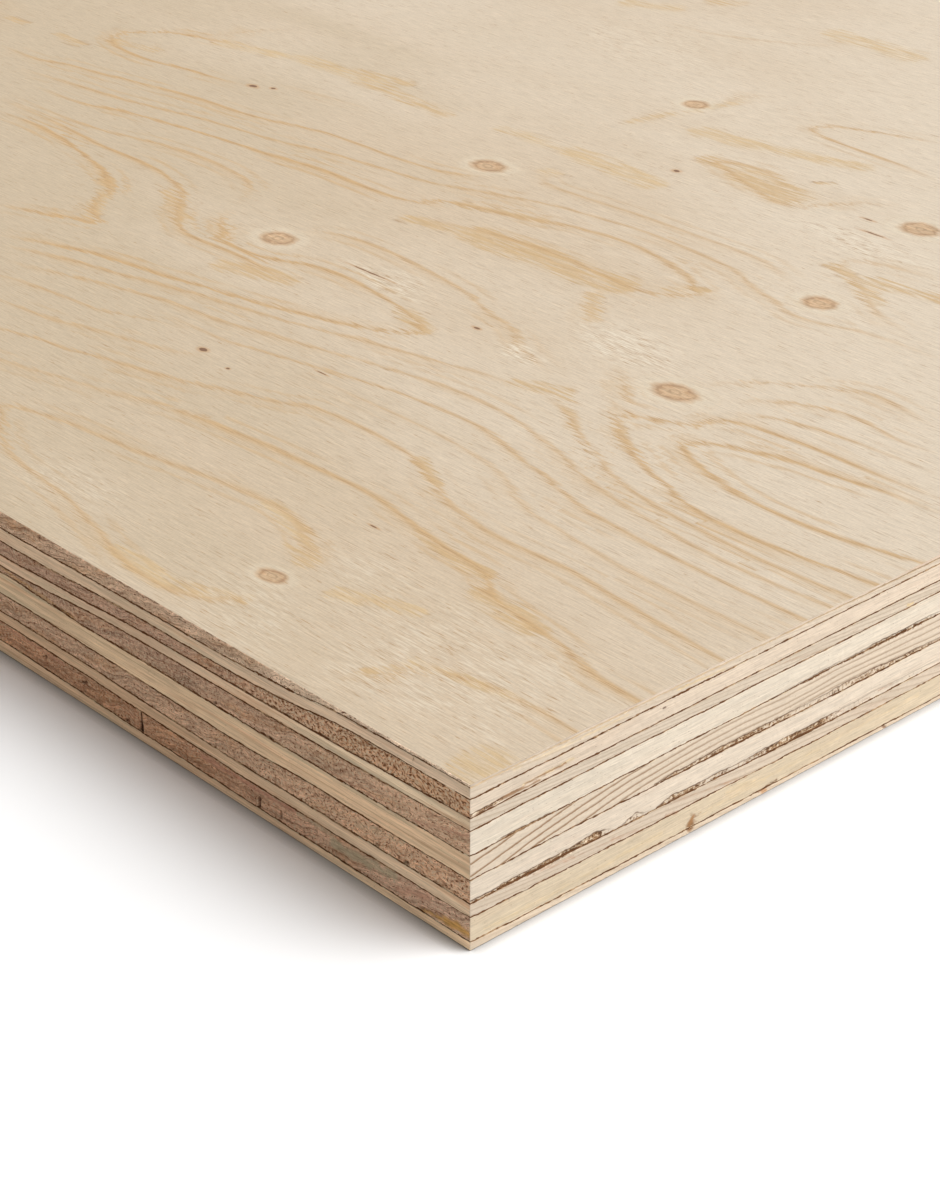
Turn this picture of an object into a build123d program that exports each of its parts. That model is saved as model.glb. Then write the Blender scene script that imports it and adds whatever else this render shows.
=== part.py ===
from build123d import *
import os
from math import pi, sin

# Softwood plywood sheet: ten rotary-cut veneers with a dark film of hardened glue
# between each two. It lies flat with its face side up. X runs along the sheet and its
# face grain, Y across it, Z up. The origin is the centre of the underside.

# Sheet, in millimetres
sheet_length = 2440.0
sheet_width = 1220.0
glue_thickness = 0.2

# Wood thickness of each veneer where the sheet is even, from the face down
face_thickness = 2.6
long_1_thickness = 2.2
cross_1_thickness = 2.7
long_2_thickness = 1.9
cross_2_thickness = 2.7
core_thickness = 3.5
cross_3_thickness = 3.1
long_3_thickness = 1.9
cross_4_thickness = 3.1
back_thickness = 1.5

# The lowest cross veneer is laid in two strips. The open seam between them lies this
# far from the +X end.
seam_distance = 75.1
seam_gap = 0.4

# Near the +X end the veneers are uneven: the face veneer was sanded nearly through and
# the ones below it fill its place. Each row gives a veneer's thickness there as a share
# of its even thickness, at these distances from that end.
uneven_at = (0, 28, 36, 44, 52, 75, 90, 100, 110)
even_from = 300.0
veneers = {
    "face_veneer": (face_thickness, (0.13, 0.27, 0.56, 0.73, 0.87, 0.94, 1.0, 1.06, 1.12)),
    "long_veneer_1": (long_1_thickness, (0.75, 0.77, 0.82, 0.89, 0.86, 0.84, 0.95, 1.07, 1.05)),
    "cross_veneer_1": (cross_1_thickness, (1.07, 1.19, 0.93, 0.74, 0.67, 0.72, 0.83, 0.78, 0.89)),
    "long_veneer_2": (long_2_thickness, (0.95, 0.87, 0.87, 0.89, 0.89, 0.87, 0.74, 1.0, 0.97)),
    "cross_veneer_2": (cross_2_thickness, (1.41, 1.37, 1.3, 1.35, 1.28, 1.17, 1.07, 0.63, 0.39)),
    "core_veneer": (core_thickness, (1.07, 1.01, 1.0, 1.04, 1.11, 1.03, 0.93, 1.03, 1.1)),
    "cross_veneer_3": (cross_3_thickness, (1.18, 1.19, 1.24, 1.11, 1.08, 1.1, 1.05, 1.06, 1.08)),
    "long_veneer_3": (long_3_thickness, (1.08, 1.05, 1.0, 1.03, 1.0, 1.0, 1.03, 1.0, 0.92)),
    "cross_veneer_4": (cross_4_thickness, (1.24, 1.18, 1.19, 1.16, 1.15, 1.16, 1.16, 1.15, 1.15)),
    "back_veneer": (back_thickness, (0.93, 0.9, 0.9, 0.9, 0.93, 1.1, 1.27, 1.37, 1.47)),
}
seamed_veneer = "cross_veneer_4"

# Beyond that end each veneer still swells and thins a little, in long waves
wave_share = 0.06
wave_lengths = (610, 840, 530, 760, 690, 980, 570, 800, 640, 900)

# The wavy layers are folded from flat strips, short where they are uneven
short_step = 4.0
long_step = 116.0
uneven_length = 120.0

wood_thickness = sum(thickness for thickness, shares in veneers.values())
sheet_thickness = wood_thickness + glue_thickness * (len(veneers) - 1)
seam_edges = (seam_distance, seam_distance + seam_gap)


def smooth_share(shares, distance):
    """Share of a veneer's even thickness, on a smooth curve through its stations."""
    places = list(uneven_at) + [even_from]
    values = list(shares) + [1.0]
    if distance >= even_from:
        return 1.0
    left = max(i for i, place in enumerate(places) if place <= distance)
    run = places[left + 1] - places[left]
    t = (distance - places[left]) / run

    def slope(i):
        before, after = max(i - 1, 0), min(i + 1, len(places) - 1)
        return (values[after] - values[before]) / (places[after] - places[before])

    curve_in = slope(left) * run * (t - 2 * t**2 + t**3)
    curve_out = slope(left + 1) * run * (t**3 - t**2)
    rise = 3 * t**2 - 2 * t**3
    return values[left] + (values[left + 1] - values[left]) * rise + curve_in + curve_out


def veneer_thicknesses(distance):
    """Thickness of every veneer at this distance from the +X end, pressed to one total."""
    loose = []
    for (thickness, shares), length in zip(veneers.values(), wave_lengths):
        wave = wave_share * sin(2 * pi * distance / length) * min(distance / even_from, 1.0)
        loose.append(thickness * smooth_share(shares, distance) * (1 + wave))
    pressed = wood_thickness / sum(loose)
    return [thickness * pressed for thickness in loose]


def layer_levels(distance):
    """Heights of the layers' boundaries, top down: veneer, film, veneer and so on."""
    levels = [sheet_thickness]
    for thickness in veneer_thicknesses(distance):
        levels.append(levels[-1] - thickness)
        levels.append(levels[-1] - glue_thickness)
    return levels[:-1]


def fold_distances():
    """Distances from the +X end where the layers are folded."""
    folds = [0.0]
    while folds[-1] + short_step < uneven_length:
        folds.append(folds[-1] + short_step)
    while folds[-1] + long_step < sheet_length - long_step / 2:
        folds.append(folds[-1] + long_step)
    return sorted(set(folds + [sheet_length, *seam_edges]))


folds = fold_distances()
levels_at = {distance: layer_levels(distance) for distance in folds}
last_level = 2 * len(veneers) - 1


def boundary(level, start, end):
    """Points along one boundary. The sanded face and back are flat, so their ends do."""
    kept = [distance for distance in folds if start <= distance <= end]
    if level in (0, last_level):
        height = sheet_thickness if level == 0 else 0.0
        return [(sheet_length / 2 - distance, height) for distance in (kept[0], kept[-1])]
    return [(sheet_length / 2 - distance, levels_at[distance][level]) for distance in kept]


def build_layer(name, level, start=0.0, end=sheet_length):
    """One layer between two boundaries, drawn as seen from the long edge."""
    outline = boundary(level, start, end) + boundary(level + 1, start, end)[::-1]
    with BuildPart() as layer:
        with BuildSketch(Plane.XZ):
            with BuildLine():
                Polyline(*outline, close=True)
            make_face()
        extrude(amount=sheet_width / 2, both=True)
    layer.part.label = name
    export_step(layer.part, f"parts/{name}.step")


os.makedirs("parts", exist_ok=True)

for number, name in enumerate(veneers):
    level = 2 * number
    if name == seamed_veneer:
        build_layer(f"{name}_end_strip", level, end=seam_edges[0])
        build_layer(name, level, start=seam_edges[1])
    else:
        build_layer(name, level)

for number in range(1, len(veneers)):
    build_layer(f"glue_line_{number}", 2 * number - 1)
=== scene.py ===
import math
from functools import partial

import bpy
import numpy as np
from mathutils import Matrix, Vector


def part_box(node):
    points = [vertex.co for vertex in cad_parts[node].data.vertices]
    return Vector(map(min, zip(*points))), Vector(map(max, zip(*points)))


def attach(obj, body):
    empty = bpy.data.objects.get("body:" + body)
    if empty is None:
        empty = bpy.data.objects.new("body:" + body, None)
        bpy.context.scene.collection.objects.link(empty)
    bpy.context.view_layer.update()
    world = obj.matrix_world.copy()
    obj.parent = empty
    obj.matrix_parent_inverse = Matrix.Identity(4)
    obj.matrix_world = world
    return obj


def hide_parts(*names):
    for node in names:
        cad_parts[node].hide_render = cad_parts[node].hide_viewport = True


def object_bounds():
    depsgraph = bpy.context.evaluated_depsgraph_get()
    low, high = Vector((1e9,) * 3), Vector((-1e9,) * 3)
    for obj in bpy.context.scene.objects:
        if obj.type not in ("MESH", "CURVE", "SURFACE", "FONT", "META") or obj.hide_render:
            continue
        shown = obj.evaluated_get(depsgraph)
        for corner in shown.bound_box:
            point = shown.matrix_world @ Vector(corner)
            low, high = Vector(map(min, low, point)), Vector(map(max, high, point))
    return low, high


mm = 0.001
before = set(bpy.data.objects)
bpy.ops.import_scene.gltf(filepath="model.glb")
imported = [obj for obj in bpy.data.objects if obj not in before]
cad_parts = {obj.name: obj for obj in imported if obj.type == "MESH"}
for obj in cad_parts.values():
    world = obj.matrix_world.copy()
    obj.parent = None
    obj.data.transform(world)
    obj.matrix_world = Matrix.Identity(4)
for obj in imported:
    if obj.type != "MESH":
        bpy.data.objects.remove(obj)  # ten veneers and nine glue films at their real size
cadLow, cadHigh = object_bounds()
sheetLength = (cadHigh.x - cadLow.x) / mm
sheetWidth = (cadHigh.y - cadLow.y) / mm
sheetThickness = (cadHigh.z - cadLow.z) / mm
print("frame loaded:", round(sheetLength), "x", round(sheetWidth), "x", round(sheetThickness, 1), "mm")

# Places on the sheet are in mm from the corner that the camera looks at:
# u runs back along the long edge, v along the end, depth down from the face.


# Camera
cameraLook = {
    "picture": (940, 1200),      # pixels
    "focalPixels": 2778.5,
    "pitch": 28.36,              # degrees below the horizon
    "turn": 42.52,               # degrees from the long edge to the view
    "cornerPixel": (470.2, 785.5),
    "cornerDepth": 371.0,        # mm from the lens to the corner, along the view
    "sensor": 36.0,              # mm, on the picture's long side
    "clip": (0.01, 100),         # m
}


def makeCamera(look):
    turn, pitch = math.radians(look["turn"]), math.radians(look["pitch"])
    right = Vector((math.sin(turn), math.cos(turn), 0))
    level = Vector((-math.cos(turn), math.sin(turn), 0))
    forward = level * math.cos(pitch) - Vector((0, 0, math.sin(pitch)))
    up = right.cross(forward)
    wide, tall = look["picture"]
    acrossPicture = (look["cornerPixel"][0] - wide / 2) / look["focalPixels"]
    downPicture = (look["cornerPixel"][1] - tall / 2) / look["focalPixels"]
    ray = forward + right * acrossPicture - up * downPicture
    corner = Vector((cadHigh.x, cadLow.y, cadHigh.z))
    data = bpy.data.cameras.new("camera")
    data.sensor_width = look["sensor"]
    data.lens = look["focalPixels"] / tall * look["sensor"]
    data.clip_start, data.clip_end = look["clip"]
    made = bpy.data.objects.new("camera", data)
    bpy.context.collection.objects.link(made)
    axes = Matrix((right, up, -forward)).transposed().to_4x4()
    made.matrix_world = Matrix.Translation(corner - ray * look["cornerDepth"] * mm) @ axes
    bpy.context.scene.camera = made


makeCamera(cameraLook)


# Colours and nodes
def linear(hexColour):
    channels = [int(hexColour[i:i + 2], 16) / 255 for i in (1, 3, 5)]
    return [c / 12.92 if c <= 0.04045 else ((c + 0.055) / 1.055) ** 2.4 for c in channels] + [1.0]


def addNode(tree, kind, *first, out=0, **settings):
    # first: what goes into its first sockets in order, or one dictionary by socket
    made = tree.nodes.new("ShaderNode" + kind)
    for name, value in settings.items():
        setattr(made, name, value)
    bySocket = first[0] if first and isinstance(first[0], dict) else dict(enumerate(first))
    for socket, value in bySocket.items():
        if isinstance(value, bpy.types.NodeSocket):
            tree.links.new(value, made.inputs[socket])
        elif isinstance(value, str) and value.startswith("#"):
            made.inputs[socket].default_value = linear(value)
        else:
            made.inputs[socket].default_value = value
    return made.outputs[out] if len(made.outputs) else None


eased = {"interpolation_type": "SMOOTHSTEP"}   # for a MapRange
inColour = {"out": 2, "data_type": "RGBA"}     # for a Mix


def newMaterial(name):
    material = bpy.data.materials.new(name)
    material.use_nodes = True
    material.node_tree.nodes.clear()
    return material, partial(addNode, material.node_tree)


# Studio
studio = {
    "keyFrom": (0.60, 0.42, 0.78),       # a wide soft box, behind on the right
    "keyStrength": 3.55, "keyAngle": 52.0,
    "cardFrom": (-0.25, -1.0, 0.16),     # a low white card, left in front
    "cardStrength": 0.645, "cardAngle": 40.0,
    "skyStrength": 0.18,
    "floorColour": "#e6e4e1",
    "floorGain": 1.07,           # the photo's floor is lit until it is white
    "paintedShadowReach": 3.0,              # mm, reach of the painted contact shadow where the sheet lies on the floor
    "paintedShadowDark": 1.1,
    "floorSize": 60.0,           # m
    "floorDrop": 0.05,           # mm under the sheet
}


def makeStudio(look):
    for name in ("key", "card"):
        lamp = bpy.data.lights.new(name, "SUN")
        lamp.energy = look[name + "Strength"]
        lamp.angle = math.radians(look[name + "Angle"])
        made = bpy.data.objects.new(name, lamp)
        made.rotation_mode = "QUATERNION"
        made.rotation_quaternion = Vector(look[name + "From"]).to_track_quat("Z", "Y")
        bpy.context.collection.objects.link(made)

    world = bpy.data.worlds.new("studioAir")
    bpy.context.scene.world = world
    world.use_nodes = True
    world.node_tree.nodes.clear()
    add = partial(addNode, world.node_tree)
    rays = add("LightPath").node.outputs
    seen = add("Math", rays["Is Camera Ray"], rays["Is Glossy Ray"], operation="MAXIMUM")
    strength = add("MapRange", seen, 0.0, 1.0, look["skyStrength"], 1.0)
    sky = add("Background", {"Color": "#ffffff", "Strength": strength})
    add("OutputWorld", {"Surface": sky})

    half = look["floorSize"] / 2
    height = cadLow.z - look["floorDrop"] * mm
    mesh = bpy.data.meshes.new("studioFloor")
    corners = [(x * half, y * half, height) for x, y in ((-1, -1), (1, -1), (1, 1), (-1, 1))]
    mesh.from_pydata(corners, [], [range(4)])
    floor = bpy.data.objects.new("studioFloor", mesh)
    bpy.context.collection.objects.link(floor)
    material, add = newMaterial("mattPaperFloor")  # white matt paper, which keeps the sheet's soft shadow; for the camera a painted contact shadow darkens it close to the sheet
    camera = add("LightPath", out="Is Camera Ray")
    # painted contact shadow: ambient occlusion darkens the floor's colour for the camera near the sheet
    clear = add("AmbientOcclusion", {"Distance": look["paintedShadowReach"] * mm}, out="AO", samples=8)
    clear = add("Math", clear, look["paintedShadowDark"], operation="POWER")
    clear = add("Math", clear, look["floorGain"], operation="MULTIPLY")
    colour = add("Mix", {0: camera, 6: look["floorColour"], 7: clear}, **inColour)
    add("OutputMaterial", {"Surface": add("BsdfDiffuse", {"Color": colour})})
    mesh.materials.append(material)


makeStudio(studio)
print("camera and studio made")


# Smooth noise for shapes, the same on every run
latticeSize = 256
lattice = np.random.default_rng(27).random((latticeSize, latticeSize))


def softNoise(a, b, seed=0):
    a, b = np.asarray(a, float) + 17.3 * seed, np.asarray(b, float) + 9.1 * seed
    i, j = np.floor(a).astype(int), np.floor(b).astype(int)
    s, t = a - i, b - j
    s, t = s * s * (3 - 2 * s), t * t * (3 - 2 * t)
    i, j, nextI, nextJ = (place % latticeSize for place in (i, j, i + 1, j + 1))
    near = lattice[i, j] * (1 - s) + lattice[nextI, j] * s
    far = lattice[i, nextJ] * (1 - s) + lattice[nextI, nextJ] * s
    return (near * (1 - t) + far * t) * 2 - 1


def ramp(value, low, high):
    t = np.clip((value - low) / (high - low), 0, 1)
    return t * t * (3 - 2 * t)


# The face's figure: (tone, half width in mm, points in u and v)
faceRings = [
    (0.9, 0.7, [(0, 32.5), (10, 33), (17, 35), (25, 36.5), (33, 37.5), (40, 40), (43, 43), (55, 44),
                (65, 46), (75, 47.7), (85, 47.7), (100, 47), (120, 45.2), (130, 43), (137, 41)]),
    (0.5, 0.35, [(118, 47), (128, 43.2), (137, 40.5), (148, 38), (155, 36), (163, 34), (172, 32),
                (182, 31)]),
    (0.75, 0.5, [(0, 49.5), (10, 50.5), (20, 51.5), (35, 53), (52, 52.5), (65, 55), (72, 58), (80, 61.5),
                (90, 63), (100, 63.3), (108, 62.5), (113, 60), (120, 57.5), (128, 54.5), (135, 52),
                (145, 49.5), (152, 48), (158, 46), (165, 45), (173, 42.5), (185, 40)]),
    (0.5, 0.35, [(0, 59.5), (15, 59.3), (30, 59.5), (45, 61), (56, 63), (63, 66.5), (72, 69.5), (85, 71),
                (105, 71), (120, 70)]),
    (0.75, 0.5, [(0, 67.5), (20, 67.5), (40, 68.5), (52, 70), (60, 72.5), (70, 75), (80, 77.8),
                (90, 78.3), (105, 77), (120, 74), (135, 71), (140, 69.5), (160, 69)]),
    (0.6, 0.35, [(138, 62.5), (146, 59), (153, 57), (160, 55.5), (170, 52.5), (180, 51), (192, 49.5)]),
    (0.6, 0.35, [(150, 67.5), (160, 65), (168, 61.5), (180, 60), (190, 58.5), (205, 55)]),
    (0.65, 0.4, [(0, 73.5), (15, 72.5), (30, 73), (45, 75), (55, 77), (62, 79.5), (70, 82), (80, 84.5),
                (90, 85.5), (100, 85), (112, 83), (125, 80), (137, 77.5), (150, 74.5), (165, 73),
                (180, 69), (190, 66), (200, 63)]),
    (0.75, 0.45, [(0, 78), (15, 77), (30, 77.5), (45, 79), (55, 82), (63, 85.5), (70, 89), (77, 93),
                (85, 95.5)]),
    (0.7, 0.4, [(88, 95), (100, 93.5), (110, 91), (125, 88), (140, 83.5), (160, 80), (180, 75), (200, 70),
                (208, 67)]),
    (0.95, 0.5, [(0, 84), (12, 82.5), (25, 81.5), (38, 82.5), (50, 86.5), (58, 90), (65, 94), (70, 99),
                (65, 102), (60, 105), (57, 109), (53, 112), (40, 113.5), (25, 113.5), (13, 114)]),
    (0.98, 0.6, [(0, 94.5), (10, 92.5), (20, 91), (32, 91), (42, 93), (52, 96.5), (55, 99), (50, 103),
                (40, 106.5), (30, 108), (20, 109.5), (10, 110)]),
    (0.8, 0.4, [(20, 121), (35, 120.5), (45, 119.5), (53, 117), (58, 113.5)]),
    (0.75, 0.4, [(25, 127), (33, 126.5), (42, 128), (50, 126.5), (57, 122), (61, 118)]),
    (0.7, 0.4, [(33, 135.5), (40, 137), (48, 137.5), (55, 133), (62, 128), (67, 122), (70, 119)]),
    (0.8, 0.35, [(66, 106), (72, 104.5), (76, 106), (80, 110), (85, 114)]),
    (0.6, 0.3, [(180, 104), (185, 108)]),
    (0.95, 0.5, [(213, 70), (203, 74), (192, 77.5), (180, 79.5), (165, 82.5), (152, 85), (140, 88.3),
                (130, 91.5), (125, 94), (120, 98), (125, 101), (132, 103), (140, 104.5), (150, 105.5),
                (160, 104.5), (165, 102), (172, 100), (180, 100), (185, 103), (190, 107), (194, 111)]),
    (0.6, 0.4, [(197, 117), (200, 122), (205, 125), (215, 127), (225, 127), (238, 125.5), (250, 122.5),
                (265, 121), (285, 121.5)]),
    (0.7, 0.45, [(92, 103), (103, 107), (110, 111.5), (120, 114), (128, 117), (140, 119), (155, 120.5),
                (168, 119.5), (174, 116)]),
    (0.8, 0.45, [(155, 96), (165, 97), (175, 97.5), (188, 97), (195, 99.5), (200, 103), (204, 107),
                (210, 111.5), (220, 115), (230, 116), (245, 116), (262, 117.5), (285, 118)]),
    (0.95, 0.5, [(228, 79.5), (220, 82), (212, 85.5), (206, 88), (212, 91), (218, 96), (220, 101),
                (226, 105), (234, 108), (245, 110.5), (255, 112.5), (265, 113.5), (277, 113)]),
    (0.7, 0.5, [(102, 123), (107, 128), (111, 132.5)]),
    (0.85, 0.6, [(161, 138.5), (150, 141.5), (130, 143.5), (108, 142), (100, 147), (100, 150), (105, 153),
                (112, 156), (122, 158), (130, 158), (140, 156.5), (150, 153), (160, 150), (168, 147.5),
                (172, 143), (180, 141), (200, 141), (215, 139), (230, 137.5), (245, 135.5), (260, 133),
                (270, 129.5), (285, 129)]),
    (0.65, 0.45, [(50, 158.5), (65, 158), (72, 155.5), (80, 154.5), (86, 157), (95, 159.5), (103, 163),
                (115, 164.5), (128, 165), (140, 163.8), (150, 162.5), (160, 159.5), (170, 156),
                (180, 152.5), (190, 151), (200, 150), (210, 148.5), (222, 145.5), (235, 144),
                (245, 142.5), (260, 139.5), (270, 137.5), (285, 136), (300, 134)]),
    (0.55, 0.4, [(90, 165), (97, 169), (105, 171), (120, 171), (135, 171), (150, 170), (162, 170),
                (168, 175)]),
    (0.75, 0.45, [(175, 163), (177, 160.5), (185, 158.5), (195, 157.5), (210, 157.3), (220, 156.5),
                (230, 154), (240, 152), (255, 151), (270, 148.5), (285, 145.5), (295, 144), (305, 141),
                (318, 141)]),
    (0.85, 0.5, [(258, 164), (265, 163), (275, 162), (285, 160), (295, 160), (303, 162), (307, 166),
                (306, 170), (302, 175), (298, 178), (290, 180), (282, 183)]),
    (0.5, 0.4, [(285, 184), (289, 188), (286, 194), (282, 199)]),
    (0.45, 0.4, [(225, 174.5), (240, 172.5), (250, 171)]),
    (0.6, 0.4, [(60, 163), (68, 166), (76, 170), (82, 175), (88, 177), (91, 181), (88, 185), (80, 187),
                (73, 188)]),
    (0.75, 0.45, [(105, 214), (110, 209), (115, 203), (118, 198), (125, 197.5), (132, 200), (140, 203),
                (148, 206), (140, 209), (132, 208), (126, 203)]),
    (0.85, 0.5, [(110, 231.5), (120, 233), (135, 234), (143, 235), (148, 238), (146, 242), (138, 245),
                (130, 248), (123, 250)]),
    (0.5, 0.5, [(175, 211), (177, 218), (173, 224)]),
    (0.5, 0.5, [(170, 234), (174, 239), (172, 243), (168, 248)]),
    (0.35, 0.4, [(183, 289), (188, 284), (195, 279), (205, 275), (212, 272), (225, 271.5)]),
    (0.7, 0.45, [(0, 20), (10, 20.5), (20, 19.5), (26, 17), (29, 12), (32, 8), (35, 4)]),
    (0.6, 0.4, [(41, 28), (47, 25), (51, 21)]),
    (0.7, 0.5, [(61, 13), (62, 9), (66, 6), (72, 4), (80, 4), (88, 5.5), (98, 8.5), (110, 11),
                (122, 12.5), (130, 14), (140, 20), (145, 24), (135, 27), (125, 28.5), (112, 30),
                (100, 32), (88, 33.5), (80, 33.5), (72, 31), (67, 28), (65, 24)]),
]

# Growth rings of the core where the end cuts them, from the top down, in v and depth
coreRings = [
    [(0, 12.9), (5, 12.2), (10, 11.2), (20, 9), (60, 3)],
    [(0, 14.9), (3, 14.4), (7, 13.6), (12, 12.8), (17, 11.9), (21, 11.2), (30, 10), (60, 6)],
    [(0, 17), (8, 14.9), (11, 14.2), (15, 13.5), (20, 12.8), (25, 12.1), (30, 11.6), (35, 11.1),
     (45, 10.7), (60, 9.5)],
    [(0, 18), (13, 15), (17, 14.5), (21, 13.8), (24, 13.5), (28, 12.8), (32, 12.4), (38, 12.1),
     (44, 11.7), (50, 11.5), (57, 11.6), (64, 11.9), (75, 11.6), (90, 11.9), (98, 12.1)],
    [(0, 20), (23, 15), (27, 14.3), (32, 13.6), (38, 13.2), (44, 12.8), (50, 12.7), (55, 12.6),
     (64, 13.05), (70, 13), (76, 12.6), (85, 12.9), (98, 13.2)],
    [(0, 22), (30, 15), (35, 14.4), (42, 14), (50, 13.7), (55, 13.7), (62, 13.95), (70, 13.7), (78, 13.5),
     (88, 13.9), (98, 14.5)],
    [(0, 24), (38, 15), (44, 14.85), (50, 14.7), (60, 14.7), (75, 14.4), (85, 14.6), (98, 15.5)],
    [(0, 26), (98, 17)],
]

# Knots in the face: u, v, length along the grain, width
faceKnots = [
    (70.5, 113, 9, 6), (80.5, 162.5, 7, 5.5), (92.5, 206.5, 8, 6.5), (175, 109, 7.5, 6),
    (178, 168.5, 8, 6), (176.5, 230.5, 6, 5), (64.5, 18.2, 5.5, 3.5),
]

# Pin knots and open specks in the face: u, v, length, width
facePins = [
    (140.9, 64, 1.7, 1.2), (131.2, 62, 0.7, 0.5), (118.5, 73, 2.4, 0.3), (115, 107, 1.5, 0.7),
    (66.6, 40.5, 1.8, 0.4), (254, 165.6, 2.4, 1.3), (249.5, 168, 1.4, 0.9), (149, 195.5, 1.6, 1.1),
    (97, 197.6, 4.5, 0.6), (103, 203, 2.4, 0.6), (149, 110.5, 9.0, 0.4),
]

# Colours of the streaks and blots
tones = {
    "amber": "#cdae82", "paleAmber": "#d3b78d", "bark": "#7d5740", "torn": "#a5775a", "pith": "#4f3222",
    "rust": "#b58457", "burnt": "#85592c", "lichen": "#a0977c", "ochre": "#bd9050", "rose": "#b1806a",
    "umber": "#8c684e", "resin": "#dcc08a",
}

# Streaks and blots: from and to, half width, tone, strength, and mm sunk in for some
faceMarks = [
    (2, 2, 3, 6, 4.0, "paleAmber", 0.6), (26, 36.6, 38, 37.6, 2.6, "amber", 0.85),
    (43, 42.5, 60, 44.2, 1.8, "amber", 0.75), (80, 62, 71, 58, 1.6, "amber", 0.6),
    (92, 95, 84, 99, 2.6, "amber", 0.55), (84, 99, 72, 90, 1.6, "amber", 0.5),
    (68, 96, 60, 91, 1.4, "amber", 0.55), (166, 135.5, 150, 138.5, 2.2, "amber", 0.75),
    (150, 139.5, 113, 141, 4.6, "amber", 0.8), (112, 134, 104, 126, 2.2, "amber", 0.6),
    (104, 147, 100, 150.5, 2.2, "amber", 0.6), (166, 148.5, 147, 154.5, 1.8, "amber", 0.6),
    (149, 206, 138, 205, 3.2, "amber", 0.7), (138, 204.5, 123, 202, 5.2, "amber", 0.8),
    (163, 218.5, 150, 219, 3.4, "paleAmber", 0.75), (148, 220, 124, 226, 3.0, "paleAmber", 0.65),
    (194, 187, 172, 188, 2.4, "paleAmber", 0.6), (172, 188, 147, 186, 3.6, "paleAmber", 0.75),
    (168, 175, 165, 175, 2.0, "paleAmber", 0.6), (80, 178, 66, 181, 3.0, "amber", 0.6),
    (91, 179, 83, 176, 2.0, "amber", 0.65), (83, 176, 73, 170, 2.4, "amber", 0.6),
    (178, 210, 176, 222, 1.6, "paleAmber", 0.6), (174, 226, 171, 240, 1.6, "paleAmber", 0.5),
    (242, 276, 232, 281, 3.4, "paleAmber", 0.6), (229, 292, 224, 296, 3.0, "amber", 0.6),
    (190, 294, 166, 294, 4.0, "paleAmber", 0.6), (285, 181, 258, 187, 2.4, "paleAmber", 0.6),
    (258, 187, 232, 193, 2.6, "amber", 0.6), (262, 187.5, 238, 188, 3.2, "paleAmber", 0.6),
    (240, 187, 210, 185, 2.8, "amber", 0.6), (303, 163, 291, 166, 2.2, "amber", 0.6),
    (317, 156, 307, 155, 1.8, "amber", 0.65), (337, 155, 330, 155, 1.6, "amber", 0.55),
    (171, 92, 157, 96.5, 3.0, "amber", 0.8), (130, 102, 121, 99, 2.2, "amber", 0.75),
    (225, 104, 217, 97, 2.0, "amber", 0.65), (217, 96, 210, 89, 2.2, "amber", 0.65),
    (211, 109, 196, 102, 2.0, "amber", 0.6), (84, 33, 74, 31, 2.0, "paleAmber", 0.65),
    (72, 30, 65, 25, 2.4, "amber", 0.6), (88, 6, 74, 5, 2.2, "paleAmber", 0.6),
    (74, 5, 62, 10, 2.0, "amber", 0.55), (54, 22, 41, 27, 1.9, "paleAmber", 0.7),
    (33, 9, 30, 15, 1.3, "amber", 0.5), (30, 17, 14, 20, 1.3, "paleAmber", 0.6),
    (124.5, 211, 122, 214, 0.9, "amber", 0.8), (122, 213.5, 120.5, 214.5, 0.7, "ochre", 0.6),
]
endMarks = [
    (4, 4.55, 18, 3.95, 0.17, "burnt", 0.85, 0.1), (3, 4.8, 13, 4.7, 0.2, "burnt", 0.7),
    (10, 4.15, 19.5, 3.8, 0.3, "resin", 0.5), (0, 5.05, 5, 4.9, 0.25, "bark", 0.8, 0.1),
    (37.3, 3.0, 37.8, 3.0, 0.24, "pith", 0.9, 0.3), (44.4, 24.6, 44.2, 25.8, 0.8, "burnt", 0.85, 0.1),
    (43.2, 25.3, 46.2, 24.3, 0.2, "umber", 0.6), (43.4, 24.5, 45.4, 25.6, 0.2, "umber", 0.6),
    (59, 26.3, 63, 25.9, 0.25, "bark", 0.9, 0.3), (59.6, 26.6, 60.6, 26.7, 0.35, "rust", 0.8, 0.1),
    (88, 26.5, 88.4, 26.9, 0.35, "umber", 0.8, 0.2), (3, 24.8, 38, 24.4, 0.5, "resin", 0.3),
    (46, 24.6, 96, 23.9, 0.5, "resin", 0.25), (52, 23.2, 60, 24.4, 1.0, "resin", 0.3),
    (91.5, 6.2, 92.8, 6.3, 0.3, "resin", 0.8), (12, 19.8, 20, 20.4, 0.25, "torn", 0.5),
    (20, 20.4, 32, 21.6, 0.22, "torn", 0.4), (27, 20.7, 34, 21.9, 0.25, "torn", 0.4),
    (40, 19.9, 52, 21.6, 0.3, "torn", 0.35), (38.5, 21.6, 41, 22.1, 0.3, "torn", 0.6),
    (50, 21.2, 56, 22.3, 0.25, "torn", 0.5), (62, 5.2, 72, 6.6, 0.2, "torn", 0.35),
    (72, 5.0, 80, 6.2, 0.2, "torn", 0.3), (80, 21.0, 88, 21.8, 0.6, "torn", 0.25),
    (40, 1.0, 50, 1.4, 0.25, "resin", 0.5), (8, 0.9, 30, 1.2, 0.3, "resin", 0.4),
    (86, 19.3, 94, 19.5, 0.12, "torn", 0.5), (74, 19.35, 84, 19.6, 0.2, "torn", 0.4),
]
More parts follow.
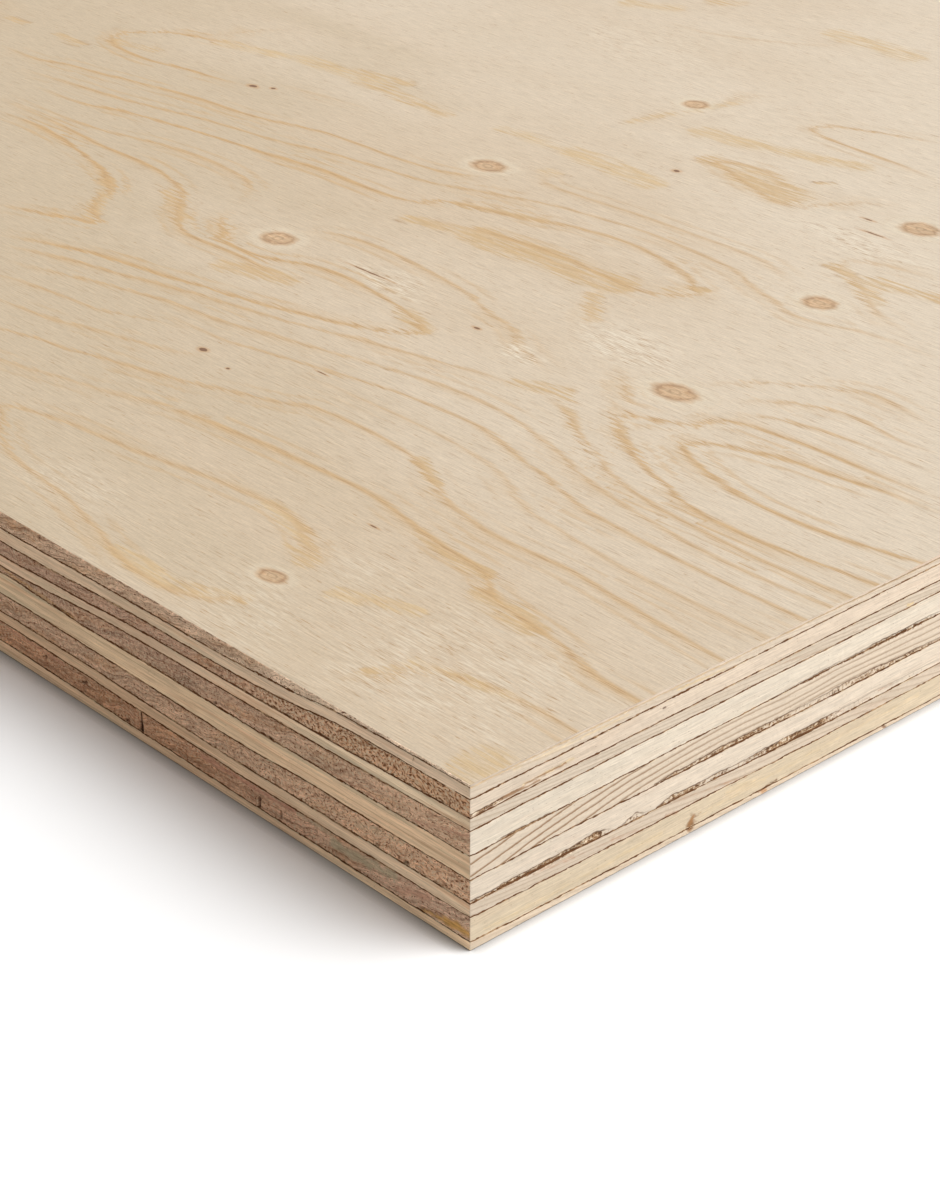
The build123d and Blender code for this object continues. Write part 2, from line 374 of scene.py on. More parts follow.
longMarks = [
    (11.5, 0.9, 11.7, 1.6, 0.16, "pith", 0.8, 0.2), (100, 0.2, 100.4, 0.9, 0.22, "pith", 0.9, 0.4),
    (56, 11.5, 56.4, 11.6, 0.3, "pith", 0.8, 0.3), (41, 12.0, 47, 11.75, 0.13, "pith", 0.9, 0.3),
    (93, 11.5, 98, 11.7, 0.13, "pith", 0.8, 0.3), (13, 18.85, 13.6, 19.0, 0.28, "pith", 0.9, 0.4),
    (19.4, 18.9, 19.8, 19.1, 0.25, "pith", 0.9, 0.4), (76.2, 19, 76.7, 19, 0.25, "pith", 0.8, 0.3),
    (5, 18.4, 5.4, 18.6, 0.2, "pith", 0.7, 0.3), (44.4, 6.0, 45, 6.2, 0.18, "pith", 0.7, 0.3),
    (54, 6.1, 54.5, 6.2, 0.18, "pith", 0.7, 0.3), (50.2, 17.2, 50.4, 17.6, 0.2, "pith", 0.6, 0.2),
    (0, 24.2, 5, 24.5, 0.75, "ochre", 0.9), (5, 24.6, 10, 25.1, 0.4, "ochre", 0.7),
    (6, 23.9, 11, 25.2, 0.3, "umber", 0.8, 0.1), (9, 22.6, 15, 24.3, 0.9, "rose", 0.55),
    (16, 22.4, 29, 23.6, 1.1, "lichen", 0.7), (20, 21.6, 27, 21.8, 0.3, "umber", 0.6),
    (30, 22.0, 46, 22.2, 0.5, "lichen", 0.5), (38, 22.2, 60, 22.7, 0.5, "rose", 0.7),
    (44, 23.2, 60, 24.6, 0.35, "umber", 0.5), (26, 24.5, 30, 24.8, 0.35, "umber", 0.6, 0.2),
    (41.3, 23.6, 41.2, 25.2, 0.14, "pith", 0.9, 0.4), (46.2, 23.8, 46.5, 25.3, 0.3, "pith", 0.95, 0.5),
    (33, 23.3, 33.3, 23.8, 0.16, "pith", 0.8, 0.2), (35, 23.6, 35.5, 24.0, 0.16, "pith", 0.8, 0.2),
    (56, 24.0, 74, 24.9, 0.4, "umber", 0.55), (58, 24.6, 70, 24.8, 0.25, "bark", 0.5),
    (75.7, 23.6, 75.9, 25.0, 0.4, "pith", 0.9, 0.5), (79, 24.7, 79.6, 24.9, 0.25, "pith", 0.8, 0.3),
    (80, 22.0, 88, 24.8, 0.35, "umber", 0.7), (85, 22.2, 93, 24.4, 0.3, "bark", 0.55),
    (86, 24.6, 104, 23.6, 0.35, "bark", 0.6), (90, 22.5, 91, 22.9, 0.3, "pith", 0.9, 0.3),
    (101, 22.4, 101.4, 22.9, 0.3, "pith", 0.9, 0.3), (94, 23.4, 100, 22.2, 0.35, "bark", 0.55),
    (100, 24.2, 112, 23.5, 0.35, "bark", 0.6), (96, 21.8, 112, 21.6, 0.3, "rose", 0.6),
    (97, 18.2, 112, 17.2, 0.22, "umber", 0.6), (97, 18.5, 104, 18.6, 0.25, "rust", 0.5),
    (85, 7.4, 91, 5.9, 0.12, "umber", 0.7), (88, 7.6, 95, 5.9, 0.12, "umber", 0.7),
    (91, 7.3, 99, 6.2, 0.12, "umber", 0.7), (92, 11.8, 112, 10.5, 0.3, "ochre", 0.4),
    (100, 2.0, 112, 1.0, 0.5, "rust", 0.3), (18, 11.2, 30, 11.6, 0.3, "rose", 0.4),
    (0, 8.2, 12, 11.2, 0.4, "rose", 0.5), (40, 9.0, 47, 11.0, 0.25, "umber", 0.5),
    (42, 8.6, 50, 10.2, 0.2, "umber", 0.5), (50, 9.6, 60, 11.0, 0.25, "umber", 0.4),
    (62, 10.8, 70, 9.4, 0.25, "umber", 0.4), (14, 15.8, 24, 17.5, 0.8, "lichen", 0.35),
]

# Strips torn up by the saw along the end's glue lines: v, depth of their upper and lower edge, how full
tornStrips = [
    [(0, 4.7, 5.1, 0.8), (4.5, 4.55, 5.05, 0.7), (6.5, 4.6, 5.0, 0.1), (8, 4.8, 4.95, 0)],
    [(0, 18.7, 19.4, 0.35), (4, 18.75, 19.4, 0.45), (7, 18.7, 19.45, 0.75), (12, 18.6, 19.6, 0.95),
     (18, 18.5, 19.6, 1), (22, 18.3, 19.5, 0.9), (24.5, 18.15, 19.45, 0.6), (26.5, 18.65, 19.35, 0.15),
     (28, 19.1, 19.4, 0)],
    [(28.5, 19.4, 19.5, 0), (30.5, 18.9, 19.45, 0.3), (32.3, 18.35, 19.5, 0.3), (34, 19, 19.6, 0.15),
     (36, 19.5, 19.6, 0)],
    [(36.3, 19.5, 19.7, 0.4), (38, 19, 19.7, 0.45), (40, 18.6, 19.75, 0.4), (43, 18.8, 19.7, 0.6),
     (46, 18.9, 19.6, 0.3), (50, 18.95, 19.7, 0.35), (55, 19.1, 19.95, 0.22), (60, 19, 20.05, 0.35),
     (63, 19.05, 20.1, 0.8), (67, 19.05, 20.2, 0.95), (71, 19.1, 20.25, 0.95), (74, 19, 20.25, 0.4),
     (78, 18.95, 20.3, 0.15), (90, 19, 20.2, 0.12), (110, 19.6, 20.4, 0)],
    [(36, 15.2, 15.4, 0.3), (40, 14.85, 15.4, 0.4), (45, 14.8, 15.4, 0.35), (50, 14.65, 15.55, 0.42),
     (56, 14.65, 15.7, 0.6), (60, 14.7, 15.7, 0.35), (64, 14.8, 15.7, 0.4), (69, 14.75, 15.7, 0.15),
     (73, 14.8, 15.75, 0.25), (78, 14.5, 15.7, 0.3), (86, 14.75, 15.75, 0.32), (90, 15, 15.8, 0.42),
     (96, 15.1, 15.85, 0.25), (106, 15.4, 15.8, 0)],
    [(5, 11.0, 11.2, 0.1), (8, 10.95, 11.3, 0.5), (10, 10.95, 11.45, 0.9), (13, 10.9, 11.2, 0.6),
     (16, 11, 11.1, 0)],
    [(60, 10.7, 10.85, 0.1), (68, 10.4, 10.9, 0.2), (72, 10.3, 10.95, 0.3), (76, 10.25, 10.95, 0.12),
     (82, 10.25, 11, 0.3), (87, 10.2, 11, 0.35), (92, 10.2, 11.05, 0.35), (97, 10.25, 11.1, 0.2),
     (108, 10.5, 10.9, 0)],
]

# Where the face's fibres are torn up: u, v, half lengths, amount
tornFibres = [
    (25, 19, 28, 18, 0.42), (90, 121, 12, 8, 0.8), (143, 111, 14, 6, 0.7), (97, 192, 24, 5, 0.75),
    (215, 255, 28, 14, 0.35), (100, 105, 7, 4, 0.8), (112, 14, 14, 8, 0.35), (58, 8, 16, 9, 0.35),
    (55, 30, 14, 8, 0.3),
]

drawing = {
    "byHandTo": (362, 342),      # mm in u and v, how far the drawn figure of the face reaches
    "fadeOut": (40, 4),          # mm before that, from where to where it fades
    "lineReach": 6.0,            # mm, how far off a growth line of the face still colours it
    "fadeSteps": 6,              # pieces of a line over which its ends fade
    "marksTo": 130,              # mm along both edges, how far their drawn marks reach
    "bend": (70, 0.9, (98, 220)),  # mm long and high, from where on, of the core's rings out of the photo
    "stripRagged": ((0.8, 0.09, 21), (2.6, 0.08, 22)),   # mm long and high, and seed
    "stripReach": 1.2,           # mm
    "plainStain": "#8a5f45",
}
noStrip = (-0.6, -0.6, 0.0)      # what a place off the torn strips says


def smoothLine(points, parts=4):
    # a smooth curve through the points, with this many pieces between two of them
    p = np.array([points[0]] + list(points) + [points[-1]], float)
    t = np.linspace(0, 1, parts, endpoint=False)[:, None]
    runs = [0.5 * (2 * b + (c - a) * t + (2 * a - 5 * b + 4 * c - d) * t**2 + (3 * b - a - 3 * c + d) * t**3)
            for a, b, c, d in zip(p, p[1:], p[2:], p[3:])]
    return np.vstack(runs + [p[-1:]])


def toSegment(a, b, start, end):
    # distance to a segment, and on which side of it
    runA, runB = end[0] - start[0], end[1] - start[1]
    length = max(math.hypot(runA, runB), 1e-6)
    share = np.clip(((a - start[0]) * runA + (b - start[1]) * runB) / length**2, 0, 1)
    gapA, gapB = a - start[0] - runA * share, b - start[1] - runB * share
    side = np.where(runA * (b - start[1]) - runB * (a - start[0]) >= 0, 1, -1)
    return np.hypot(gapA, gapB), side


def ringField(strokes, a, b):
    # mm to the nearest growth line with its side, the same without, its tone, its half width and how it runs
    reach, steps = drawing["lineReach"], drawing["fadeSteps"]
    signed, near, tone = np.full(a.shape, reach), np.full(a.shape, reach), np.zeros(a.shape)
    wide, slant = np.full(a.shape, 0.5), np.zeros(a.shape)
    for strength, width, points in strokes:
        line = smoothLine(points)
        low, high = line.min(0) - reach, line.max(0) + reach
        inside = np.nonzero((a > low[0]) & (a < high[0]) & (b > low[1]) & (b < high[1]))[0]
        for number, (start, end) in enumerate(zip(line, line[1:])):
            fade = min(1.0, (number + 1) / steps, (len(line) - 1 - number) / steps)
            if points[0][0] <= 0 and number < steps:
                fade = 1.0       # a line that starts at the end of the sheet is cut, not faded
            gap, side = toSegment(a[inside], b[inside], start, end)
            closer = gap < near[inside]
            hit = inside[closer]
            near[hit], tone[hit], wide[hit] = gap[closer], strength * fade, width
            signed[hit] = gap[closer] * side[closer]
            slant[hit] = abs(end[1] - start[1]) / max(math.hypot(*(end - start)), 1e-6)
    return signed, near, tone, wide, slant


def countedRings(v, depth):
    # how many rings of the core lie above each point, with parts, and how far apart they are there
    length, rise, start = drawing["bend"]
    depth = depth + softNoise(v / length, 0, 15) * rise * ramp(v, *start)
    lines = np.array([np.interp(v, *zip(*points)) for points in coreRings])
    below = np.clip((depth > lines).sum(0), 1, len(coreRings) - 1)
    upper, lower = np.take_along_axis(lines, np.array([below - 1, below]), 0)
    return below + (depth - upper) / (lower - upper), lower - upper


def stripsAt(v, depth):
    # mm below the upper edge and above the lower edge of the nearest torn strip, and how full it is
    found = np.tile(noStrip, (len(v), 1))
    nearest = np.full(len(v), drawing["stripReach"])
    for strip in tornStrips:
        places, tops, bottoms, fills = zip(*strip)
        top, bottom = np.interp(v, places, tops), np.interp(v, places, bottoms)
        for length, rise, seed in drawing["stripRagged"]:
            top = top + rise * softNoise(v / length, 0, seed)
        away = np.abs(depth - (top + bottom) / 2)
        here = (v >= places[0]) & (v <= places[-1]) & (away < nearest)
        nearest[here] = away[here]
        inside = np.stack([depth - top, bottom - depth, np.interp(v, places, fills)], 1)
        found[here] = inside[here]
    found[(found[:, :2] < noStrip[0]).any(1)] = noStrip
    return found


def blots(marks, a, b, ragged):
    # colour, strength and depth of the streaks and blots at these places
    colour = np.tile(linear(drawing["plainStain"])[:3], (len(a), 1))
    strength, sunk = np.zeros(len(a)), np.zeros(len(a))
    for number, (a0, b0, a1, b1, half, tone, amount, *deep) in enumerate(marks):
        gap = toSegment(a, b, (a0, b0), (a1, b1))[0]
        rough = softNoise(a / max(half * 1.5, abs(a1 - a0) / 9), b / half, number) * ragged
        cover = 1 - ramp(gap / half + rough, 0.3, 1.45)
        hit = cover * amount > strength
        colour[hit], strength[hit] = linear(tones[tone])[:3], (cover * amount)[hit]
        sunk = np.maximum(sunk, cover * sum(deep))
    return colour, strength, sunk


# Heights of the plies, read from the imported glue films
filmNames = [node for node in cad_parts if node.startswith("glue_line_")]
lastLevel = 2 * len(filmNames) + 1


def filmHeights(node):
    points = np.empty(len(node.data.vertices) * 3)
    node.data.vertices.foreach_get("co", points)
    points = points.reshape(-1, 3) / mm
    places = np.unique(points[:, 0].round(2))
    rows = [points[np.abs(points[:, 0] - place) < 0.02, 2] for place in places]
    return places, np.array([row.max() for row in rows]), np.array([row.min() for row in rows])


levels = {0: (np.array([0.0]), np.array([sheetThickness])), lastLevel: (np.array([0.0]), np.array([0.0]))}
for name in filmNames:
    film = int(name.split("_")[-1])
    places, upper, lower = filmHeights(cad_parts[name])
    levels[2 * film - 1], levels[2 * film] = (places, upper), (places, lower)

# How far each film climbs (+) or sinks (-) along the end, at these distances v from the corner
endDrift = {
    "at": (0, 10, 20, 30, 40, 50, 60, 75, 97, 180, 340),
    "reach": 60.0,               # mm in from the end over which it dies away
    1: (0, 0, 0, 0, 0, 0, 0, 0, 0, 0, 0),
    2: (0, 0.05, 0.1, 0.3, 0.42, 0.45, 0.52, 0.7, 0.8, 0.5, 0),
    3: (0, 0.25, 0.35, 0.42, 0.5, 0.6, 0.7, 0.75, 0.85, 0.5, 0),
    4: (0, 0.2, 0.3, 0.45, 0.5, 0.55, 0.62, 0.6, 0.75, 0.4, 0),
    5: (0, 0.2, 0.35, 0.5, 0.58, 0.62, 0.68, 0.78, 0.65, 0.3, 0),
    6: (0, 0.08, 0.05, 0.0, -0.05, -0.12, -0.22, -0.38, -0.35, -0.2, 0),
    7: (0, -0.05, -0.1, -0.3, -0.45, -0.5, -0.8, -1.0, -0.9, -0.5, 0),
    8: (0, -0.2, -0.32, -0.42, -0.5, -0.58, -0.75, -0.88, -0.88, -0.4, 0),
    9: (0, -0.3, -0.4, -0.45, -0.5, -0.52, -0.6, -0.68, -0.78, -0.4, 0),
}


def heightAt(level, x, y):
    places, heights = levels[level]
    height = np.interp(x, places, heights)
    if 0 < level < lastLevel:
        drift = np.interp(y + sheetWidth / 2, endDrift["at"], endDrift[(level + 1) // 2])
        height = height + drift * np.exp((x - sheetLength / 2) / endDrift["reach"])
    return height


# Outline of a layer round its four edges, with close columns where the camera looks
edgeMesh = {
    "cell": 0.25,                # mm between columns and rows at the shown corner
    "shownLong": 118.0, "shownEnd": 106.0,
    "smoothOut": 10,             # mm before their end over which the relief fades
    "growth": 1.12, "coarse": 12.0,      # beyond them the columns grow apart, up to this
    "wander": (2.6, 0.05),       # mm long and high, how a glue film strays up and down
    "ragged": ((0.55, 1.0, 5.7, 5), (1.7, 0.6, 2.3, 6)),  # mm long, share, step to the next film, seed
    "filmRagged": 0.07,          # mm that its edges are so ragged
    "filmLong": 0.06, "filmEnd": 0.03,   # mm that it smears beyond its real thickness
    "smearTo": 30,               # mm from the corner over which it grows to that on the long edge
    "filmSunk": 0.08,            # mm that the saw leaves it behind the wood
    "filmUneven": (0.6, 0.8),    # mm long, and share by which that changes
    "corner": 0.06,              # mm worn off the upright corners
    "arris": 0.12, "nextRow": 0.03,      # mm broken off the edges of face and back
    "sharp": 38,                 # degrees
}
capMesh = {
    "faceInset": 1.0, "inset": 3.0,      # mm from the edge to the first stations of a flat side
    "close": 1.25, "closeTo": 120,       # mm between them on the face at the shown corner
    "seen": 2.0,                 # mm between them in the rest of the drawn figure
    "growth": 1.25, "coarse": 60.0,
    "plainStep": 100, "plainCount": 13,  # mm along and stations across a side that isn't seen
}
tiny = 0.01                      # mm
onEndSide, onFarEndSide, onLongSide = 0, 2, 3    # the edges are counted round from the shown end


def spaced(places, end, step, growth, coarse):
    # the places, and more of them as far as the end, in steps that grow up to coarse
    places = list(places)
    while places[-1] + step * 1.6 < end:
        step = min(step * growth, coarse)
        places.append(places[-1] + step)
    return np.array(places + [end])


def edgeLoop(xLow, xHigh):
    halfLength, halfWidth, mesh = sheetLength / 2, sheetWidth / 2, edgeMesh
    cell, coarse = mesh["cell"], mesh["coarse"]
    shownLong, shownEnd = mesh["shownLong"], mesh["shownEnd"] if xHigh > halfLength - tiny else 0
    v, u = (spaced(np.arange(0, max(shown, cell), cell), total, cell, mesh["growth"], coarse)
            for total, shown in ((sheetWidth, shownEnd), (sheetLength, shownLong)))
    longX = halfLength - u[::-1]
    longX = np.concatenate([[xLow], longX[(longX > xLow + 0.05) & (longX < xHigh - 0.05)], [xHigh]])
    backX = np.linspace(xHigh, xLow, max(int((xHigh - xLow) / coarse), 4) + 1)
    farY = np.linspace(halfWidth, -halfWidth, int(sheetWidth / coarse) + 1)
    sides = [
        (np.full(len(v), xHigh), v - halfWidth, 1, 0, v),
        (backX, np.full(len(backX), halfWidth), 0, 1, halfLength - backX),
        (np.full(len(farY), xLow), farY, -1, 0, farY + halfWidth),
        (longX, np.full(len(longX), -halfWidth), 0, -1, halfLength - longX),
    ]
    loop = {key: [] for key in ("x", "y", "nx", "ny", "along", "side", "turn")}
    for number, (x, y, nx, ny, along) in enumerate(sides):
        before, count = sides[number - 1], len(x) - 1
        span = np.abs(x - x[0]) + np.abs(y - y[0])
        loop["x"] += list(x[:count])
        loop["y"] += list(y[:count])
        loop["nx"] += [nx + before[2]] + [nx] * (count - 1)
        loop["ny"] += [ny + before[3]] + [ny] * (count - 1)
        loop["along"] += list(along[:count])
        loop["side"] += [number] * count
        loop["turn"] += list(number + span[:count] / span[count])
    loop = {key: np.array(values, float) for key, values in loop.items()}
    shown = np.choose(loop["side"].astype(int), (shownEnd, 0, 0, shownLong))
    # 1 where the columns are close enough to carry relief
    loop["fine"] = 1 - ramp(loop["along"], shown - mesh["smoothOut"], shown)
    loop["fine"][shown == 0] = 0
    return loop


def edgeHeight(level, loop):
    height = heightAt(level, loop["x"], loop["y"])
    if level in (0, lastLevel):
        return height
    film, up, onLong = (level + 1) // 2, 1 if level % 2 else -1, loop["side"] == onLongSide
    along = loop["along"] + 300 * onLong      # so that the two edges differ
    length, rise = edgeMesh["wander"]
    wander = softNoise(along / length, film * 3.1, 3) * rise
    ragged = sum(share * softNoise(along / length, film * step + up, seed)
                 for length, share, step, seed in edgeMesh["ragged"])
    smear = edgeMesh["filmLong"] * ramp(loop["along"], 0, edgeMesh["smearTo"])
    thick = np.where(onLong, smear, edgeMesh["filmEnd"])
    return height + (wander + up * (thick + ragged * edgeMesh["filmRagged"])) * loop["fine"]


def capGrid(xLow, xHigh, close):
    # stations of a layer's flat side, close ones in what the photo shows of the face
    halfLength, halfWidth, mesh = sheetLength / 2, sheetWidth / 2, capMesh
    if close:
        inset, closeTo = mesh["faceInset"], mesh["closeTo"]
        u, v = (spaced([*np.arange(inset, closeTo, mesh["close"]), *np.arange(closeTo, seenTo, mesh["seen"])],
                       total - inset, mesh["seen"], mesh["growth"], mesh["coarse"])
                for total, seenTo in zip((sheetLength, sheetWidth), drawing["byHandTo"]))
        return halfLength - u[::-1], v - halfWidth
    inset, columns = mesh["inset"], max(int((xHigh - xLow) / mesh["plainStep"]), 3) + 1
    xs = np.linspace(xLow + inset, xHigh - inset, columns)
    return xs, np.linspace(inset - halfWidth, halfWidth - inset, mesh["plainCount"])


def zipLoops(outerTurn, innerTurn):
    # triangles between two rings of points that both run once round the sheet
    triangles, i, j = [], 0, 0
    outerCount, innerCount = len(outerTurn), len(innerTurn)
    outerNexts = [*outerTurn[1:], 4.0, math.inf]
    innerNexts = [*innerTurn[1:], 4.0 + innerTurn[0], math.inf]
    while i < outerCount or j < innerCount:
        o, n = i % outerCount, j % innerCount
        if outerNexts[i] <= innerNexts[j]:
            i += 1
            triangles.append((("o", o), ("o", i % outerCount), ("i", n)))
        else:
            j += 1
            triangles.append((("o", o), ("i", j % innerCount), ("i", n)))
    return triangles


def capFaces(loop, xs, ys, rim, first):
    # the grid's quads and the zip of triangles to the rim; rim and first are vertex numbers
    nx, ny = len(xs), len(ys)

    def at(i, j):
        return first + i * ny + j

    quads = [(at(i, j), at(i + 1, j), at(i + 1, j + 1), at(i, j + 1))
             for i in range(nx - 1) for j in range(ny - 1)]
    ring = [(nx - 1, j) for j in range(ny - 1)] + [(i, ny - 1) for i in range(nx - 1, 0, -1)]
    ring += [(0, j) for j in range(ny - 1, 0, -1)] + [(i, 0) for i in range(nx - 1)]
    sides = np.repeat(range(4), (ny - 1, nx - 1, ny - 1, nx - 1))
    xLow, xHigh, yLow, yHigh = loop["x"].min(), loop["x"].max(), loop["y"].min(), loop["y"].max()
    turns = []
    for side, (i, j) in zip(sides, ring):
        alongX, alongY = (xs[i] - xLow) / (xHigh - xLow), (ys[j] - yLow) / (yHigh - yLow)
        turns.append(side + (alongY, 1 - alongX, 1 - alongY, alongX)[side])
    pick = {"o": lambda k: rim + k, "i": lambda k: at(*ring[k])}
    return quads + [tuple(pick[kind](k) for kind, k in corners) for corners in zipLoops(loop["turn"], turns)]


# Materials
def millimetres(add):
    return add("VectorMath", {0: add("TexCoord", out="Object"), "Scale": 1 / mm}, operation="SCALE")


def onWall(add):
    # along and up a sawn edge, in mm, the same for the long edges and the ends
    split = add("SeparateXYZ", millimetres(add)).node.outputs
    along = add("Math", split["X"], split["Y"], operation="ADD")
    return add("CombineXYZ", along, split["Z"])


def stretch(add, place, long, wide):
    # place counted in spots of this length and width, in mm
    return add("VectorMath", place, (1 / long, 1 / wide, 1 / wide), operation="MULTIPLY")


def spots(add, place, long, wide, detail=2.0, roughness=0.5, out="Fac"):
    # uneven tone in spots of this length and width, 0 to 1, mostly 0.3 to 0.7
    place = stretch(add, place, long, wide)
    return add("TexNoise", {"Vector": place, "Scale": 1.0, "Detail": detail, "Roughness": roughness}, out=out)


def patterns(add, place, look, *names):
    # several of them, with the sizes that the look gives under these names
    return [spots(add, place, *look[name]) for name in names]


def threeTones(add, place, long, wide):
    # three of one size that don't follow each other
    return add("SeparateColor", spots(add, place, long, wide, out="Color")).node.outputs


def carried(add, label):
    # the three numbers that every point of the mesh carries under this name
    return add("SeparateXYZ", add("Attribute", out="Vector", attribute_name=label)).node.outputs


def shaded(add, colour, *layers):
    # the colour, darker and lighter with each pattern
    for pattern, low, high in layers:
        tone = add("MapRange", pattern, 0.3, 0.7, low, high)
        colour = add("Mix", {0: 1.0, 6: colour, 7: tone}, **inColour, blend_type="MULTIPLY")
    return colour


def layOver(add, colour, tone, pattern, start, full, most=1.0):
    # tone over colour: none where the pattern is at start, most where it is at full
    cover = add("MapRange", pattern, start, full, 0.0, most, **eased)
    return add("Mix", {0: cover, 6: colour, 7: tone}, **inColour)


def between(add, value, outside, inside, inward, outward, most=1.0):
    # a soft line: it rises from outside to inside, and falls from inward to outward
    rise = add("MapRange", value, outside, inside, 0.0, most, **eased)
    fall = add("MapRange", value, outward, inward, **eased)
    return add("Math", rise, fall, operation="MULTIPLY")


def finishWood(add, colour, height, look):
    bump = add("Bump", {"Height": height, "Strength": look["bump"], "Distance": look["relief"] * mm})
    surface = add("BsdfPrincipled", {
        "Base Color": colour, "Roughness": look["roughness"], "Normal": bump,
        "IOR": 1.5, "Specular IOR Level": look["gloss"],
    })
    add("OutputMaterial", {"Surface": surface})


# Spots of a pattern: mm long and wide, and for some the octaves and roughness of the noise
facePine = {
    "cream": "#d3bfa5", "pale": "#d9c8b1", "deep": "#cbb89d", "light": "#deceb8",
    "amber": "#caa87b", "dash": "#b3906a", "fleck": "#efe4d0",
    "knotRim": "#b68c63", "knotHeart": "#d2b08a", "knotPith": "#98724f", "crowded": "#e3d4bb",
    # fleck: pale torn fibres, paler wood with painted highlight
    "pinDark": "#6a4730", "pinRim": "#bf8f5c",
    "fibre": (5.0, 0.3, 3.0, 0.62), "open": (6.0, 0.2, 2.0, 0.6), "split": (3.0, 0.24, 1.0),
    "teeth": (9.0, 0.8, 2.0, 0.6), "ragged": (1.8, 1.3), "swell": (34.0, 8.0), "patch": (260.0, 60.0),
    "islands": (820.0, 110.0, 1.2, 0.4),             # the figure where it isn't drawn from the listed lines
    "mottle": 0.5,               # mm, the finest unevenness of the sanded wood
    "fray": 17.0,                # mm along the grain that fibres pull the growth lines about
    "echo": 3.1,                 # mm from a growth line to its faint neighbour
    "rings": 13.0,               # growth lines in the height of one island
    "knotSpacing": 150.0, "knotRadius": 3.2,         # mm
    "roughness": 0.62, "gloss": 0.3, "bump": 0.45, "relief": 0.05,
}
backPine = dict(
    facePine, cream="#d8c4a6", pale="#cdb695", amber="#b98a58",
    rings=11.0, islands=(900.0, 120.0, 1.2, 0.4),
)


def wildLines(add, look, place, pull, swell):
    # the figure beyond the shown corner, from the height lines of a smooth field
    field = spots(add, place, *look["islands"])
    field = add("Math", field, look["rings"], operation="MULTIPLY")
    field = add("Math", pull, 0.3, field, operation="MULTIPLY_ADD")
    line = between(add, add("Math", field, operation="FRACT"), 0.7, 0.95, 0.96, 1.0, 0.75)
    strength = add("MapRange", swell, 0.3, 0.65, 0.15, 0.9)
    return add("Math", line, strength, operation="MULTIPLY")


def drawnLines(add, look, pull, swell):
    # listed growth lines, frayed where they cross the fibres: an uneven band, and its thin core
    ring, figure = carried(add, "ring"), carried(add, "figure")
    reach = add("Math", figure["X"], look["fray"], 0.9, operation="MULTIPLY_ADD")
    offset = add("Math", pull, reach, ring["X"], operation="MULTIPLY_ADD")
    gap = add("Math", offset, operation="ABSOLUTE")
    wide = add("MapRange", swell, 0.3, 0.7, 0.75, 1.6)
    wide = add("Math", wide, figure["Y"], operation="MULTIPLY")
    centre = add("MapRange", gap, wide, 0.05, 0.0, 0.45, **eased)
    early = add("MapRange", swell, 0.36, 0.64, -1.1, -4.2)      # mm that the soft side reaches
    line = add("Math", centre, between(add, offset, early, 0.3, 0.2, 1.0, 0.46), operation="ADD")
    away = add("Math", gap, look["echo"], operation="SUBTRACT")
    away = add("Math", away, operation="ABSOLUTE")
    echo = add("MapRange", away, 0.8, 0.1, 0.0, 0.5, **eased)
    echo = add("Math", echo, add("MapRange", swell, 0.42, 0.6, **eased), operation="MULTIPLY")
    line = add("Math", line, echo, operation="ADD")
    line = add("Math", line, ring["Z"], operation="MULTIPLY")
    core = add("MapRange", gap, 0.5, 0.1, 0.0, ring["Z"], **eased)
    # half way to the next line the side changes over, so nothing is drawn there
    swapped = add("Math", ring["X"], operation="ABSOLUTE")
    swapped = add("Math", ring["Y"], swapped, operation="SUBTRACT")
    kept = add("MapRange", swapped, 1.7, 1.1, **eased)
    return [add("Math", part, kept, operation="MULTIPLY") for part in (line, core)]


def ambered(add, colour, pull, teeth):
    # the amber streaks and blots, pulled out and worn along the fibres
    stain = add("Attribute", attribute_name="stain").node.outputs
    spread = add("Math", pull, 4.6, stain["Alpha"], operation="MULTIPLY_ADD")
    spread = add("MapRange", spread, 0.05, 0.75, 0.0, 0.85, **eased)
    kept = add("MapRange", stain["Alpha"], 0.0, 0.35, **eased)
    spread = add("Math", spread, kept, operation="MULTIPLY")
    worn = add("MapRange", teeth, 0.36, 0.6, 0.5, 1.0)
    spread = add("Math", spread, worn, operation="MULTIPLY")
    return add("Mix", {0: spread, 6: colour, 7: stain["Color"]}, **inColour)


def nearestOval(add, place, ovals, radius):
    # how far out of the nearest of these ovals in the face, 1 at its rim
    for u, v, length, width in ovals:
        centre = (sheetLength / 2 - u, v - sheetWidth / 2, sheetThickness)
        out = add("VectorMath", place, centre, operation="SUBTRACT")
        out = add("VectorMath", out, (2 / length, 2 / width, 0), operation="MULTIPLY")
        out = add("VectorMath", out, out="Value", operation="LENGTH")
        radius = add("Math", radius, out, operation="MINIMUM")
    return radius


def knotRadius(add, look, place, byHand):
    # how far out of the nearest knot, 1 at its rim
    spacing = look["knotSpacing"]
    cells = add("VectorMath", place, (0.75 / spacing, 1 / spacing, 0), operation="MULTIPLY")
    cell = add("TexVoronoi", {"Vector": cells, "Scale": 1.0}, voronoi_dimensions="2D").node.outputs
    radius = add("Math", cell["Distance"], spacing / look["knotRadius"], operation="MULTIPLY")
    chance = add("SeparateColor", cell["Color"]).node.outputs[0]
    none = add("MapRange", chance, 0.55, 0.5, 0.0, 9.0)         # about half of the cells have no knot
    radius = add("Math", none, radius, operation="ADD")
    if not byHand:
        return radius
    radius = add("Math", carried(add, "grain")["X"], 9.0, radius, operation="MULTIPLY_ADD")
    return nearestOval(add, place, faceKnots, radius)


